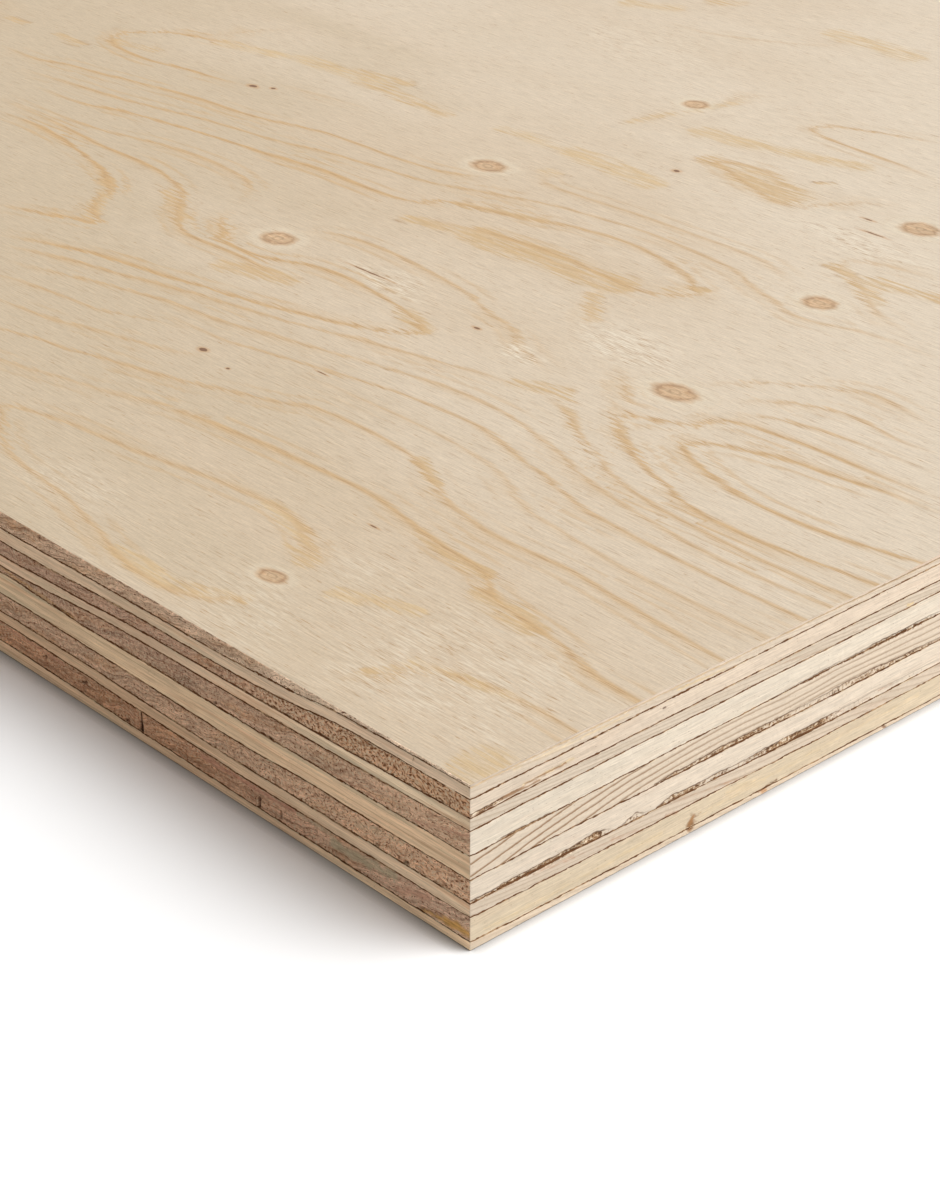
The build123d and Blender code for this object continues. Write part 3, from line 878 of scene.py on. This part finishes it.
def knotted(add, look, colour, radius, ragged, grits):
    # knots: a brown rim round a paler heart with rings of its own, and pale wood crowded round it
    colour = layOver(add, colour, look["crowded"], radius, 2.4, 1.2, 0.4)
    arcs = add("Math", radius, 7.0, operation="MULTIPLY")
    arcs = add("Math", arcs, operation="SINE")
    around = add("MapRange", radius, 2.9, 1.3, 0.0, 0.16, **eased)
    arcs = add("Math", arcs, around, operation="MULTIPLY")
    colour = layOver(add, colour, look["amber"], arcs, 0.0, 0.6)
    rings = add("Math", radius, 11.0, -1.2, operation="MULTIPLY_ADD")
    rings = add("Math", rings, operation="SINE")
    rim = add("MapRange", radius, 0.35, 0.85, **eased)
    uneven = add("MapRange", ragged, -0.12, 0.1, 0.25, 1.0)
    rim = add("Math", rim, uneven, operation="MULTIPLY")
    knot = add("Mix", {0: rim, 6: look["knotHeart"], 7: look["knotRim"]}, **inColour)
    knot = layOver(add, knot, look["knotPith"], rings, 0.1, 1.0, 0.45)
    knot = shaded(add, knot, *grits)
    cover = add("MapRange", radius, 1.3, 0.8, 0.0, 0.85, **eased)
    return add("Mix", {0: cover, 6: colour, 7: knot}, **inColour)


def peeledPine(name, look, byHand):
    # Rotary-cut pine, sanded: amber growth lines that wander like contours, frayed by the fibres
    material, add = newMaterial(name)
    place = millimetres(add)
    fibre, opened, split, teeth = patterns(add, place, look, "fibre", "open", "split", "teeth")
    swell, patch, ragged = patterns(add, place, look, "swell", "patch", "ragged")
    ragged = add("Math", ragged, 0.5, operation="SUBTRACT")
    mottle = add("TexNoise", {"Vector": place, "Scale": 1 / look["mottle"], "Detail": 1.0})
    pull = add("Math", opened, teeth, operation="ADD")
    pull = add("Math", pull, 0.5, -0.5, operation="MULTIPLY_ADD")
    line = wildLines(add, look, place, pull, swell)
    colour = layOver(add, look["cream"], look["pale"], patch, 0.35, 0.65)
    if byHand:
        grain = carried(add, "grain")
        drawn, core = drawnLines(add, look, pull, swell)
        line = add("Mix", {0: grain["X"], 2: line, 3: drawn})
        drift = add("Math", pull, 0.8, grain["Z"], operation="MULTIPLY_ADD")
        colour = layOver(add, colour, look["deep"], drift, 0.0, 1.0)
        colour = layOver(add, colour, look["light"], drift, 0.0, -1.0)
        colour = ambered(add, colour, pull, teeth)
    colour = add("Mix", {0: line, 6: colour, 7: look["amber"]}, **inColour)

    radius = knotRadius(add, look, place, byHand)
    radius = add("Math", ragged, 0.55, radius, operation="MULTIPLY_ADD")
    radius = add("Math", pull, 0.6, radius, operation="MULTIPLY_ADD")
    colour = knotted(add, look, colour, radius, ragged, ((teeth, 0.84, 1.14), (split, 0.88, 1.1)))

    # fibres: fine shading and dark open ones
    colour = shaded(add, colour, (fibre, 0.9, 1.08), (opened, 1.07, 0.92), (mottle, 0.96, 1.035))
    colour = layOver(add, colour, look["dash"], opened, 0.59, 0.73, 0.6)
    if byHand:
        # the broken core of the growth lines, torn fibres dark and pale, the pale ones partly painted
        # highlight, and pin knots
        broken = add("MapRange", opened, 0.45, 0.6, **eased)
        broken = add("Math", broken, core, operation="MULTIPLY")
        colour = layOver(add, colour, look["dash"], broken, 0.0, 1.0, 0.7)
        start = add("MapRange", grain["Y"], 0.0, 1.0, 0.68, 0.56)
        full = add("MapRange", grain["Y"], 0.0, 1.0, 0.80, 0.70)
        colour = layOver(add, colour, look["dash"], split, start, full, 0.8)
        # pale torn fibres: paler wood and painted highlight where they stand up
        light = add("MapRange", split, 0.47, 0.36, 0.0, 0.9, **eased)
        light = add("Math", light, grain["Y"], operation="MULTIPLY")
        colour = add("Mix", {0: light, 6: colour, 7: look["fleck"]}, **inColour)
        pin = nearestOval(add, place, facePins, 9.0)
        pin = add("Math", ragged, 1.6, pin, operation="MULTIPLY_ADD")
        colour = layOver(add, colour, look["pinRim"], pin, 2.6, 1.0, 0.5)
        colour = layOver(add, colour, look["pinDark"], pin, 1.15, 0.75, 0.85)
    height = add("Math", opened, -0.7, fibre, operation="MULTIPLY_ADD")
    finishWood(add, colour, height, look)
    return material


edgeMarks = {
    "streak": (2.4, 0.22, 2.0, 0.6), "shade": (1.9, 0.28),
    "dash": (0.6, 0.8, 2.0, 0.6), "thread": (3.0, 0.22),
    "tornWood": "#ad8b69", "tornPale": "#e6d5bc", "tornDark": "#5f432f",
}


def stained(add, place, colour, look=edgeMarks):
    # streaks and blots, broken up by the fibres, darker and lighter along them
    stain = add("Attribute", attribute_name="stain").node.outputs
    streak, shade = patterns(add, place, look, "streak", "shade")
    reach = add("Math", stain["Alpha"], 0.5, streak, operation="MULTIPLY_ADD")
    cover = add("MapRange", reach, 0.46, 0.8, **eased)
    cover = add("Math", cover, stain["Alpha"], operation="MULTIPLY")
    toned = shaded(add, stain["Color"], (shade, 0.72, 1.5))
    return add("Mix", {0: cover, 6: colour, 7: toned}, **inColour)


def tornUp(add, place, colour, look=edgeMarks):
    # strips along a glue line where the saw tore the wood: a dark upper edge, upright tufts below it
    torn = carried(add, "torn")
    dash, thread = patterns(add, place, look, "dash", "thread")
    inside = add("MapRange", torn["X"], -0.05, 0.12, **eased)
    above = add("MapRange", torn["Y"], -0.1, 0.1, **eased)
    inside = add("Math", inside, above, operation="MULTIPLY")
    tufts = add("Math", thread, 0.8, dash, operation="MULTIPLY_ADD")
    wood = layOver(add, look["tornWood"], look["tornPale"], tufts, 0.92, 0.76)
    wood = layOver(add, wood, look["tornDark"], tufts, 0.92, 1.06, 0.95)
    filled = add("Math", torn["Z"], 0.85, dash, operation="MULTIPLY_ADD")
    filled = add("MapRange", filled, 0.62, 0.95, **eased)
    cover = add("Math", filled, inside, operation="MULTIPLY")
    colour = add("Mix", {0: cover, 6: colour, 7: wood}, **inColour)
    edge = add("Math", thread, 0.3, torn["X"], operation="MULTIPLY_ADD")
    edge = add("Math", edge, 0.15, operation="SUBTRACT")
    edge = add("Math", edge, operation="ABSOLUTE")
    edge = add("MapRange", edge, 0.19, 0.04, **eased)
    edge = add("Math", edge, above, operation="MULTIPLY")
    shown = add("MapRange", torn["Z"], 0.0, 0.35, 0.0, 0.85)
    edge = add("Math", edge, shown, operation="MULTIPLY")
    return add("Mix", {0: edge, 6: colour, 7: look["tornDark"]}, **inColour)


def sawnEdge(name, look, grainOf):
    # a material of the sawn edges: the pattern of this grain over the tone that the mesh carries
    material, add = newMaterial(name)
    place, wood = onWall(add), add("Attribute", attribute_name="wood")
    colour, height = grainOf(add, place, wood, look)
    finishWood(add, colour, height, look)
    return material


sawnPine = {
    "vein": "#a5805a", "rose": "#cb9a74", "ash": "#c2b294", "speck": "#7d5b42",
    "streak": (26.0, 0.8, 4.0, 0.6), "fibre": (4.5, 0.22, 3.0, 0.6), "veins": (60.0, 0.3, 1.0),
    "patch": (24.0, 1.5), "specks": (0.5, 0.16, 0.0),
    "roughness": 0.75, "gloss": 0.1, "bump": 0.45, "relief": 0.05,
}


def alongGrain(add, place, wood, look):
    # Pine sawn along its fibres: smooth and pale, with long faint veins
    plain = carried(add, "grain")["Z"]
    streak, fibre, veins, specks = patterns(add, place, look, "streak", "fibre", "veins", "specks")
    hue = threeTones(add, place, *look["patch"])
    veined = layOver(add, wood, look["rose"], hue[0], 0.5, 0.72, 0.55)
    veined = layOver(add, veined, look["ash"], hue[1], 0.5, 0.72, 0.5)
    veined = layOver(add, veined, look["vein"], veins, 0.58, 0.74, 0.4)
    veined = shaded(add, veined, (streak, 0.76, 1.17))
    colour = add("Mix", {0: plain, 6: veined, 7: wood}, **inColour)
    colour = shaded(add, colour, (fibre, 0.82, 1.15), (hue[2], 0.95, 1.04))
    colour = layOver(add, colour, look["speck"], specks, 0.76, 0.82, 0.5)
    colour = tornUp(add, place, stained(add, place, colour))
    return colour, add("Math", streak, 0.5, fibre, operation="MULTIPLY_ADD")


roughPine = {
    # the dark tone paints shade in the pits and also draws the thin dark streaks; the pale tone paints
    # highlight on the ridges
    "pit": "#5b3219", "ridge": "#dbc6a8", "rust": "#b5855c", "moss": "#ad977a",
    "lean": -9.0,                # degrees that the streaks slope
    "curl": 2.6, "curls": 0.22,  # mm that they are bent out of line, and bends in a mm
    "streak": (6.0, 0.6, 3.0, 0.6), "thread": (1.3, 0.22, 2.0, 0.6), "patch": (15.0, 2.6),
    "flow": (13.0, 0.34, 2.0, 0.6),                  # thin dark streaks
    "cell": (0.5, 0.36, 1.0), "tuft": (0.75, 0.55),  # pits, and bundles of fibre ends
    "roughness": 0.9, "gloss": 0.04, "bump": 0.9, "relief": 0.14,
}


def roughEnds(add, place, wood, look):
    # Cut fibre ends, fuzzy from the saw: dull brown streaks, with painted shade in the pits and painted
    # highlight on the ridges between them
    coarse = carried(add, "grain")["Y"]
    bend = add("TexNoise", {"Vector": place, "Scale": look["curls"], "Detail": 1.0}, out="Color")
    bend = add("VectorMath", bend, (0.5, 0.5, 0.5), operation="SUBTRACT")
    curled = add("VectorMath", bend, (look["curl"], look["curl"], 0), place, operation="MULTIPLY_ADD")
    leaning = add("Mapping", {"Vector": curled, "Rotation": (0, 0, math.radians(look["lean"]))})
    streak, thread, flow = patterns(add, leaning, look, "streak", "thread", "flow")
    cell = spots(add, curled, *look["cell"])
    tufts = {"Vector": stretch(add, curled, *look["tuft"]), "Scale": 1.0}
    tuft = add("TexVoronoi", tufts, voronoi_dimensions="2D")
    hue = threeTones(add, leaning, *look["patch"])
    colour = layOver(add, wood, look["rust"], hue[0], 0.48, 0.7, 0.45)
    colour = layOver(add, colour, look["moss"], hue[1], 0.5, 0.7, 0.22)
    colour = shaded(add, colour, (hue[2], 0.84, 1.16), (streak, 0.72, 1.26), (thread, 0.76, 1.22))
    colour = shaded(add, colour, (cell, 0.74, 1.24))
    # dark streaks where the wood is smoother; where it is coarser, tufts with painted shade round them and
    # painted highlight on them, and pits
    flowing = add("MapRange", coarse, 0.1, 0.7, 0.7, 0.1)
    tufted = add("MapRange", coarse, 0.1, 0.8, 0.12, 0.5)
    colour = layOver(add, colour, look["pit"], flow, 0.51, 0.64, flowing)
    colour = layOver(add, colour, look["pit"], tuft, 0.4, 0.8, tufted)
    colour = layOver(add, colour, look["ridge"], tuft, 0.42, 0.15, tufted)
    # painted shade in the pits and painted highlight on the ridges, following the relief
    pits = (look["pit"], (0.63, 0.54), (0.72, 0.63), 0.85)
    ridges = (look["ridge"], (0.38, 0.47), (0.26, 0.36), 0.6)
    for tone, starts, fulls, most in (pits, ridges):
        start = add("MapRange", coarse, 0.0, 1.0, *starts)
        full = add("MapRange", coarse, 0.0, 1.0, *fulls)
        colour = layOver(add, colour, tone, cell, start, full, most)
    return stained(add, place, colour), add("Math", cell, -1.0, thread, operation="MULTIPLY_ADD")


ringedPine = {
    "line": "#917153", "grey": "#c4b49e", "speck": "#7d5b42",
    "streak": (15.0, 0.5, 4.0, 0.65), "fuzz": (0.9, 0.25), "veil": (30.0, 0.6, 3.0),
    "specks": (0.45, 0.16, 0.0), "wander": (60.0, 8.0, 1.0),
    "bend": 6.0,                 # mm that the rings wander
    "slope": 0.09, "ringStep": 0.9,                  # mm between growth rings
    "roughness": 0.8, "gloss": 0.1, "bump": 0.5, "relief": 0.06,
}


def ringedEnds(add, place, wood, look):
    # Cleaner end grain: growth rings cross it as thin brown lines at a slant
    ring, shown = carried(add, "ring"), carried(add, "grain")["Z"]
    along = add("SeparateXYZ", place).node.outputs
    height = add("Math", along["X"], look["slope"], along["Y"], operation="MULTIPLY_ADD")
    tilted = add("CombineXYZ", along["X"], height)
    streak, veil = patterns(add, tilted, look, "streak", "veil")
    fuzz, specks, wander = patterns(add, place, look, "fuzz", "specks", "wander")
    colour = shaded(add, wood, (streak, 0.9, 1.07), (fuzz, 0.94, 1.05))
    grey = add("MapRange", veil, 0.46, 0.66, **eased)
    grey = add("Math", grey, shown, operation="MULTIPLY")
    colour = add("Mix", {0: grey, 6: colour, 7: look["grey"]}, **inColour)

    # listed rings: mm from the nearest whole number of the counted rings
    waver = add("Math", streak, 0.16, ring["X"], operation="MULTIPLY_ADD")
    away = add("Math", waver, operation="ROUND")
    away = add("Math", waver, away, operation="SUBTRACT")
    away = add("Math", away, ring["Y"], operation="MULTIPLY")
    drawn = between(add, away, 0.15, 0.03, -0.03, -0.4)
    drawn = add("Math", drawn, ring["Z"], operation="MULTIPLY")
    field = add("Math", wander, look["bend"], height, operation="MULTIPLY_ADD")
    field = add("Math", field, 1 / look["ringStep"], operation="MULTIPLY")
    late = between(add, add("Math", field, operation="FRACT"), 0.5, 0.92, 0.92, 1.0, 0.7)
    late = add("Math", late, shown, operation="MULTIPLY")
    line = add("Math", drawn, late, operation="MAXIMUM")
    colour = add("Mix", {0: line, 6: colour, 7: look["line"]}, **inColour)
    colour = layOver(add, colour, look["speck"], specks, 0.76, 0.82, 0.5)
    colour = tornUp(add, place, stained(add, place, colour))
    return colour, add("Math", streak, 0.7, fuzz, operation="MULTIPLY_ADD")


phenolicGlue = {
    "glue": "#8f6e50", "dark": "#5e3a22", "scraped": "#cfae88",
    "drag": (1.3, 0.5, 3.0, 0.65), "patch": (11.0, 3.0, 1.0),
    "roughness": 0.8, "gloss": 0.04, "bump": 0.5, "relief": 0.05,
}


def hardenedGlue(add, place, wood, look):
    # Cured phenolic resin, sawn through: thin and dark red-brown, broken by wood that the saw dragged over it
    grain = carried(add, "grain")
    drag, patch = patterns(add, place, look, "drag", "patch")
    mixed = add("Math", patch, 0.7, drag, operation="MULTIPLY_ADD")
    colour = add("Mix", {0: grain["Y"], 6: look["glue"], 7: look["dark"]}, **inColour)
    colour = shaded(add, colour, (drag, 0.75, 1.3))
    colour = layOver(add, colour, look["scraped"], mixed, 0.86, 1.14, 0.7)
    return add("Mix", {0: grain["Z"], 6: wood, 7: colour}, **inColour), drag


print("making materials")
facePineMaterial = peeledPine("peeledPineFace", facePine, True)
backPineMaterial = peeledPine("peeledPineBack", backPine, False)
alongGrainMaterial = sawnEdge("sawnPineAlongGrain", sawnPine, alongGrain)
roughEndMaterial = sawnEdge("sawnPineRoughEnd", roughPine, roughEnds)
ringedEndMaterial = sawnEdge("sawnPineRingedEnd", ringedPine, ringedEnds)
glueMaterial = sawnEdge("hardenedPhenolicGlue", phenolicGlue, hardenedGlue)


# Veneers and glue films
# Each ply's tone on the long edge at the corner and further back, and on the end; how coarse its long edge is
# at both places; on the end, at the corner and out of the picture, how plain a cross ply is or how much the
# growth rings of another show; and its slot
plies = {
    "face_veneer": ("#ffe3c6", "#dcb89a", "#dbc9b5", 0.42, 0.26, 0.6, 0.6, "face_wood"),
    "long_veneer_1": ("#eccfb1", "#e5c7a7", "#dfceb9", 0.0, 0.0, 0.3, 0.8, "long_grain_wood"),
    "cross_veneer_1": ("#dbaa83", "#c49e85", "#e0ceb9", 1.0, 0.25, 0.85, 0.3, "cross_grain_wood"),
    "long_veneer_2": ("#f2d9b7", "#e2c1a1", "#dacab6", 0.0, 0.0, 0.45, 0.8, "long_grain_wood"),
    "cross_veneer_2": ("#e4bb9a", "#c19c82", "#e3d6c3", 0.45, 0.35, 0.85, 0.3, "cross_grain_wood"),
    "core_veneer": ("#f2cfa9", "#e9caa5", "#ddccb7", 0.0, 0.0, 0.0, 0.0, "long_grain_wood"),
    "cross_veneer_3": ("#e5b794", "#d4ad8f", "#e0d1be", 0.6, 0.35, 0.85, 0.3, "cross_grain_wood"),
    "long_veneer_3": ("#eccfae", "#dbb794", "#d7c6b2", 0.0, 0.0, 0.45, 0.8, "long_grain_wood"),
    "cross_veneer_4": ("#e1ba9e", "#d3a07d", "#d5c4aa", 0.3, 0.35, 0.85, 0.3, "cross_grain_wood"),
    "back_veneer": ("#fbdbb5", "#e8c5a1", "#dfccb5", 0.0, 0.0, 0.3, 0.8, "back_wood"),
}
films = {
    "scraped": "#dcc4a4",        # wood dragged over the film
    "scrapedTo": (50, 130),      # mm from the corner over which that stops
    "other": (0.0, 0.8, 1.0),    # hidden on the end, dark on the end and on the long edge
    1: (0.85, 0.6, 0.9),
    9: (0.0, 0.9, 1.0),
}
relief = {
    "cell": 0.3,                 # mm between rows up the edge
    "arrisRow": 0.04, "backRow": 0.93,   # share of the height of the rows next to the broken edges
    "coarseCut": 0.22, "fineCut": 0.05, "leastCut": 0.02,  # mm deep, in end grain, in smooth wood, everywhere
    "tornCut": 0.4, "tornSlope": 0.25,   # mm deep, and mm from its rim over which a strip gets so deep
    "deepest": 1.2,              # mm
    "rough": ((0.5, 0.42, 1.0, 11), (0.27, 0.25, 0.7, 12)),   # mm long and high, share, seed
    "endCoarse": 0.1,            # how coarse the end is
    "blotRagged": 0.5,           # share of a blot's half width that its rim strays
    "coarseRun": (34, 62),       # mm from the corner over which the long edge's coarseness changes
    "toneRun": (0, 80), "endRun": (0, 100),  # and the tones of the long edge and of the end
    "endPaintedShade": (0.94, 1.04),    # painted shade: the end is a little darker near the corner
    "ringRun": (98, 130),        # and how much the end's rings show
    "coreRun": (0.95, 0.4, (10, 60)),    # strength of the core's rings, what it loses, and over which mm
    "seamPaintedShade": "#4a3020",       # walls of the open seam, painted dark as shade in the gap
    "seamOpen": (22.9, 24.0),    # mm down; above it the strips stand closer by this much each
    "seamClosed": 0.17,
}
faceTones = {
    "drift": 125.0,              # mm over which it grows deeper along the long edge and paler along the end
    "driftWidens": (300, 0.9),   # mm from the corner, and how much wider it grows from there in each mm
    "driftTo": (360, 1600),      # mm from the corner over which it dies away
    "cloud": (34, 9, 0.25),      # mm long and wide, and how strong
    "tornRagged": (9, 3, 0.3),
    "bolder": (110, 230, 0.35),  # mm from the end over which the growth lines grow bolder, by this share
    "softEdge": 0.35,            # mm that a growth line's soft edge adds to its half width
    "blotRagged": 0.25,          # share of a blot's half width that its rim strays
}


def edgeTones(along, side, ply, xLow, xHigh):
    # the wood's tone along a sawn edge, with painted shade on the end near the corner, and the painted shade
    # of the open seam's walls
    onEnd = (side == onEndSide) | (side == onFarEndSide)
    near, far, end, seam = (np.array(linear(tone)) for tone in (*ply[:3], relief["seamPaintedShade"]))
    share = ramp(along, *relief["toneRun"])[..., None]
    # painted shade: the end grows darker towards the corner
    shade = np.interp(along, relief["endRun"], relief["endPaintedShade"])[..., None]
    wood = np.where(onEnd[..., None], end * shade, near * (1 - share) + far * share)
    # the walls of the open seam take the painted shade
    atEnd = sheetLength / 2 - tiny
    inSeam = ((side == onEndSide) & (xHigh < atEnd)) | ((side == onFarEndSide) & (xLow > -atEnd))
    return np.where(inSeam[..., None], seam, wood).reshape(-1, 4)


def edgeDetail(name, loop, z, ply, xLow, xHigh):
    # relief, tones and marks of a sawn edge, at every row and column of it
    depth, size = sheetThickness - z, z.size
    along, side, fine = (np.broadcast_to(loop[key], z.shape) for key in ("along", "side", "fine"))
    coarseNear, coarseFar, rings, ringsBeyond = ply[3:7]
    onEnd = (side == onEndSide) | (side == onFarEndSide)
    coarse = coarseNear + (coarseFar - coarseNear) * ramp(along, *relief["coarseRun"])
    coarse = np.where(onEnd, relief["endCoarse"], coarse)
    stain, sunk = np.tile([*linear(drawing["plainStain"])[:3], 0.0], (size, 1)), np.zeros(size)
    ring, torn = np.tile([0.5, 1.0, 0.0], (size, 1)), np.tile(noStrip, (size, 1))
    for number, marks in ((onEndSide, endMarks), (onLongSide, longMarks)):
        here = np.nonzero(((side == number) & (along < drawing["marksTo"])).ravel())[0]
        a, b = along.ravel()[here], depth.ravel()[here]
        stain[here, :3], stain[here, 3], sunk[here] = blots(marks, a, b, relief["blotRagged"])
        if number == onEndSide:
            torn[here] = stripsAt(a, b)
    if "core_veneer" in name:
        counted, apart = countedRings(along[onEnd], depth[onEnd])
        strong, loss, run = relief["coreRun"]
        ring[onEnd.ravel()] = np.stack([counted, apart, strong - loss * ramp(along[onEnd], *run)], 1)
    inside = np.clip(torn[:, :2].min(1) / relief["tornSlope"], 0, 1) * torn[:, 2]
    sunk = np.maximum(sunk, inside * relief["tornCut"])
    rough = sum(share * softNoise(along / long, z / high, seed)
                for long, high, share, seed in relief["rough"])
    deep = relief["fineCut"] + (relief["coarseCut"] - relief["fineCut"]) * coarse
    inset = relief["leastCut"] + deep * np.clip(0.35 + 0.5 * rough, 0, 1)
    inset = (inset + sunk.reshape(z.shape) * (0.7 + 0.5 * rough)) * fine
    ringed = rings + (ringsBeyond - rings) * ramp(along, *relief["ringRun"])
    grain = np.stack([fine.ravel(), coarse.ravel(), np.where(onEnd, ringed, 0).ravel()], 1)
    wood = edgeTones(along, side, ply, xLow, xHigh)
    tables = {"wood": wood, "stain": stain, "ring": ring, "torn": torn, "grain": grain}
    return np.clip(inset, 0, relief["deepest"]), tables


def filmDetail(loop, level, rows):
    # relief of a film, how much of its colour the scraped wood hides, and how dark it is
    long, share = edgeMesh["filmUneven"]
    ragged = softNoise(loop["along"] / long, loop["side"] + level, 8)
    inset = np.tile(edgeMesh["filmSunk"] * (1 + share * ragged) * loop["fine"], (rows, 1))
    onEnd = loop["side"] == onEndSide
    hidden, darkEnd, darkLong = films.get((level + 1) // 2, films["other"])
    shown = np.where(onEnd, 1 - hidden * (1 - ramp(loop["along"], *films["scrapedTo"])), 1.0)
    grain = np.stack([loop["fine"], np.where(onEnd, darkEnd, darkLong), shown], 1)
    wood = np.tile(linear(films["scraped"]), (rows * len(shown), 1))
    return inset, {"wood": wood, "grain": np.tile(grain, (rows, 1))}


def faceDetail(x, y):
    # growth lines, marks, torn fibres and deeper tones of the face
    u, v = sheetLength / 2 - x, y + sheetWidth / 2
    signed, near, tone, wide, slant = ringField(faceRings, u, v)
    colour, strength = blots(faceMarks, u, v, faceTones["blotRagged"])[:2]
    torn = np.zeros(len(u))
    long, across, rise = faceTones["tornRagged"]
    ragged = rise * softNoise(u / long, v / across, 4)
    for centreU, centreV, halfU, halfV, amount in tornFibres:
        out = np.hypot((u - centreU) / halfU, (v - centreV) / halfV) + ragged
        torn = np.maximum(torn, amount * (1 - ramp(out, 0.4, 1.2)))
    fadeFrom, fadeTo = drawing["fadeOut"]
    fadeU, fadeV = (ramp(place, end - fadeFrom, end - fadeTo)
                    for place, end in zip((u, v), drawing["byHandTo"]))
    away, (widensFrom, widens) = np.hypot(u, v), faceTones["driftWidens"]
    drift = (u - v) / (faceTones["drift"] + widens * np.maximum(away - widensFrom, 0))
    long, across, rise = faceTones["cloud"]
    deep = np.clip(drift, -1, 1) + rise * softNoise(u / long, v / across, 9)
    deep = deep * (1 - ramp(away, *faceTones["driftTo"]))
    start, end, bolder = faceTones["bolder"]
    return {
        "stain": np.concatenate([colour, strength[:, None]], 1),
        "ring": np.stack([signed, near, tone * (1 + bolder * ramp(u, start, end))], 1),
        "figure": np.stack([slant, wide + faceTones["softEdge"], np.zeros(len(u))], 1),
        "grain": np.stack([1 - np.maximum(fadeU, fadeV), torn, deep], 1),
    }


def layerRows(level, loop):
    # heights of the rows of an edge, from its upper to its lower boundary
    upper, lower = edgeHeight(level, loop), edgeHeight(level + 1, loop)
    share = np.linspace(0, 1, max(2, round(float(np.median(upper - lower)) / relief["cell"])) + 1)
    if level == 0:
        share[1] = relief["arrisRow"]
    if level + 1 == lastLevel:
        share[-2] = relief["backRow"]
    return upper + (lower - upper) * share[:, None]


def edgePoints(level, loop, z, inset):
    # points of the edge: its worn corners and edges, its relief, and the seam that closes towards its top
    upright = np.abs(loop["nx"]) + np.abs(loop["ny"]) > 1
    inset[:, upright] = np.maximum(inset[:, upright], edgeMesh["corner"])
    if level == 0:
        inset[0] = edgeMesh["arris"]
        inset[1] = np.minimum(inset[1], edgeMesh["nextRow"])
    if level + 1 == lastLevel:
        inset[-1] = edgeMesh["arris"]
    x, y = loop["x"] - loop["nx"] * inset, loop["y"] - loop["ny"] * inset
    seamWall = (np.abs(loop["x"]) < sheetLength / 2 - tiny) & (np.abs(loop["nx"]) > 0.5)
    closed = 1 - ramp(sheetThickness - z, *relief["seamOpen"])
    x += loop["nx"] * seamWall * closed * relief["seamClosed"]
    return np.stack([x.ravel(), y.ravel(), z.ravel()], 1)


def capPoints(level, xs, ys):
    x, y = (grid.ravel() for grid in np.meshgrid(xs, ys, indexing="ij"))
    return np.stack([x, y, np.broadcast_to(heightAt(level, x, y), x.shape)], 1)


def makeMesh(name, points, faces, kinds, materials, tables):
    mesh = bpy.data.meshes.new(name)
    mesh.from_pydata((points * mm).tolist(), [], faces)
    for material in materials:
        mesh.materials.append(material)
    mesh.polygons.foreach_set("material_index", kinds)
    mesh.polygons.foreach_set("use_smooth", [True] * len(faces))
    mesh.set_sharp_from_angle(angle=math.radians(edgeMesh["sharp"]))
    for label, values in tables.items():
        kind, field = ("FLOAT_COLOR", "color") if values.shape[1] == 4 else ("FLOAT_VECTOR", "vector")
        data = mesh.attributes.new(label, kind, "POINT").data
        data.foreach_set(field, values.astype(np.float32).ravel())
    mesh.update()
    return mesh


def buildLayer(name, level, node, ply, materials, xLow, xHigh):
    loop = edgeLoop(xLow, xHigh)
    z = layerRows(level, loop)
    rows, count = z.shape
    inset, tables = edgeDetail(name, loop, z, ply, xLow, xHigh) if ply else filmDetail(loop, level, rows)
    close = level == 0
    upGrid, lowGrid = capGrid(xLow, xHigh, close), capGrid(xLow, xHigh, False)
    edge = edgePoints(level, loop, z, inset)
    top, bottom = capPoints(level, *upGrid), capPoints(level + 1, *lowGrid)
    points = np.vstack([edge, top, bottom])

    faces, kinds = [], []            # kinds: 0 flat, 1 on the ends, 2 on the long edges
    for row in range(rows - 1):
        for column in range(count):
            a, b = row * count + column, row * count + (column + 1) % count
            faces.append((a, a + count, b + count, b))
            kinds.append(1 if loop["side"][column] in (onEndSide, onFarEndSide) else 2)
    faces += capFaces(loop, *upGrid, 0, len(edge))
    faces += [face[::-1] for face in capFaces(loop, *lowGrid, len(edge) - count, len(edge) + len(top))]
    kinds += [0] * (len(faces) - len(kinds))

    for label, values in tables.items():
        plainest = linear(ply[2]) if ply and label == "wood" else np.zeros(values.shape[1])
        tables[label] = np.vstack([values, np.tile(plainest, (len(points) - len(edge), 1))])
    if close:
        onFace = np.concatenate([np.arange(count), len(edge) + np.arange(len(top))])
        tables["figure"] = np.zeros((len(points), 3))
        for label, values in faceDetail(points[onFace, 0], points[onFace, 1]).items():
            tables[label][onFace] = values
    mesh = makeMesh(name, points, faces, kinds, materials, tables)
    piece = bpy.data.objects.new(name, mesh)
    bpy.context.collection.objects.link(piece)
    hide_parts(node)
    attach(piece, "root")
    return len(mesh.polygons) * 2


def endsOf(node):
    low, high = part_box(node)
    return low.x / mm, high.x / mm


triangles = 0
for number, name in enumerate(plies):
    across = "cross" in name
    flat = facePineMaterial if number == 0 else backPineMaterial
    onLong = roughEndMaterial if across or number == 0 else alongGrainMaterial
    onEnd = alongGrainMaterial if across or number == 0 else ringedEndMaterial
    looks = (flat, onEnd, onLong)
    for node in [name] + [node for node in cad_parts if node.startswith(name + "_")]:
        triangles += buildLayer("sawn_" + node, 2 * number, node, plies[name], looks, *endsOf(node))
print("veneers made,", triangles, "triangles at most")
for node in filmNames:
    level = 2 * int(node.split("_")[-1]) - 1
    triangles += buildLayer("sawn_" + node, level, node, None, [glueMaterial] * 3, *endsOf(node))
print("glue films made,", triangles, "triangles at most")

bpy.context.scene.view_settings.view_transform = "Standard"
